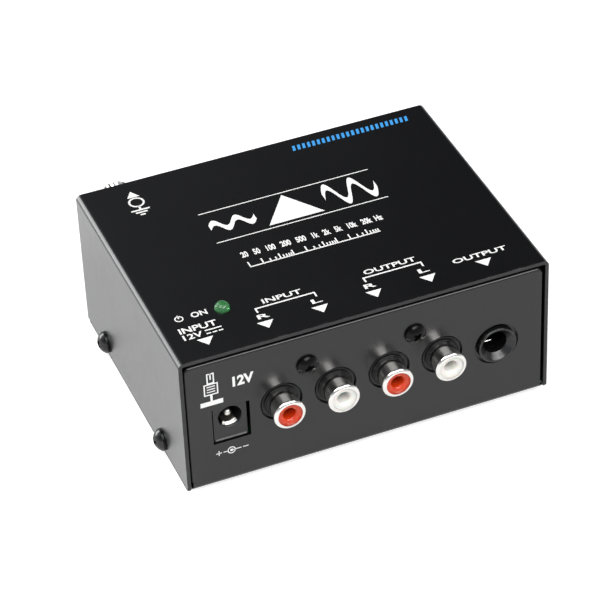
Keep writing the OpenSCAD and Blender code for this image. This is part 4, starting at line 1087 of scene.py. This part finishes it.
post_outline += [(post_r - 0.45, post_l - 0.05), (post_r - 0.5, post_l), (0, post_l)]
post_at = (post_x, post_low.y, post_z)
post = put(turned("ground_post_thread", post_outline, 48), post_at, (-math.pi / 2, 0, 0))
fitted_out(post, bright_nickel, "ground_post")
for name, solid, edge, body in (
    ("terminal_hex_nut", "ground_post_nut", 0.12, "case"),
    ("terminal_washer", "ground_washer", 0.1, "washer"),
    ("terminal_thumb_nut", "ground_thumb_nut", 0.08, "thumb_nut"),
):
    dressed(name, solid, edge, satin_nickel, body=body)
dressed("terminal_lug", "ground_lug", 0.05, lead_metal)
wire_skin = moulding("wire_green", (0.02, 0.2, 0.05), 0.35, 0.004 * MM)
dressed("terminal_wire", "ground_wire", 0.03, wire_skin)


# Circuit board, its standoffs and its screws. The board is green with darker tracks under the mask,
# and sits on hexagonal brass standoffs, tin plated, pressed into the floor.
constants = {"IOR": 1.5, "Coat Weight": 0.5, "Coat Roughness": 0.1}
solder_mask, tree, shader = finish("solder_mask", constants)
white = (1, 1, 1, 1)
spot = node(tree, "TexCoord").outputs["Object"]
grid = node(tree, "TexBrick", Vector=spot, Scale=95.0, Mortar_Size=0.035, Color1=white, Color2=white)
grid.inputs["Mortar"].default_value = (0, 0, 0, 1)
pours = ramp(tree, speckle(tree, 90.0, 0.0), 0.48, 0.5)
tracks = maths(tree, "MULTIPLY", grid.outputs["Fac"], pours)
coloured(tree, shader, tracks, (0.005, 0.04, 0.014), (0.012, 0.08, 0.028))
uneven_gloss(tree, shader, 400.0, 0.25, 0.38)
bumped(tree, shader, tracks, 0.03 * MM)
dressed("board_laminate", "circuit_board", 0.08, solder_mask)
tin_plate = plated("tin_plate", (0.66, 0.66, 0.65), 0.32, 0.75)
dressed("standoff_set", "standoffs", 0.15, tin_plate)
dressed("board_screw_set", "board_screws", 0.06, tin_plate)


# Components on the board, soldered in by their leads. Chip, regulator and diode are black epoxy, film
# capacitors are dipped red blocks, ceramic ones tan, and the cans wear printed blue sleeves.
epoxy_black = moulding("epoxy_black", (0.016, 0.016, 0.017), 0.5, 0.012 * MM)
film_red = moulding("film_red", (0.42, 0.035, 0.02), 0.28, 0.006 * MM)
ceramic_tan = moulding("ceramic_tan", (0.55, 0.3, 0.09), 0.38, 0.01 * MM)
sleeve_blue = moulding("sleeve_blue", (0.014, 0.03, 0.12), 0.25, 0.004 * MM)
resistor_tan = moulding("resistor_tan", (0.5, 0.37, 0.2), 0.42, 0.01 * MM)
for name, solid, material, slot, edge in (
    ("chip_body", "amplifier_chip", epoxy_black, "chip_plastic", 0.3),
    ("chip_legs", "amplifier_chip_legs", lead_metal, "tinned_steel", 0.05),
    ("film_blocks", "film_capacitors", film_red, "film_red", 0.6),
    ("ceramic_blocks", "ceramic_capacitors", ceramic_tan, "ceramic_tan", 0.8),
    ("coupling_cans", "coupling_capacitors", sleeve_blue, "sleeve_blue", 0.35),
    ("reservoir_can", "reservoir_capacitor", sleeve_blue, "sleeve_blue", 0.5),
    ("output_can", "output_capacitor", sleeve_blue, "sleeve_blue", 0.35),
    ("regulator_case", "voltage_regulator", epoxy_black, "chip_plastic", 0.2),
    ("regulator_leads", "regulator_legs", lead_metal, "tinned_steel", 0.03),
    ("resistor_row", "resistor_bodies", resistor_tan, "ceramic_tan", 0.4),
    ("resistor_wires", "resistor_leads", lead_metal, "tinned_steel", 0.03),
    ("diode_case", "polarity_diode", epoxy_black, "chip_plastic", 0.25),
    ("diode_wires", "diode_leads", lead_metal, "tinned_steel", 0.03),
):
    dressed(name, solid, edge, material, 3)
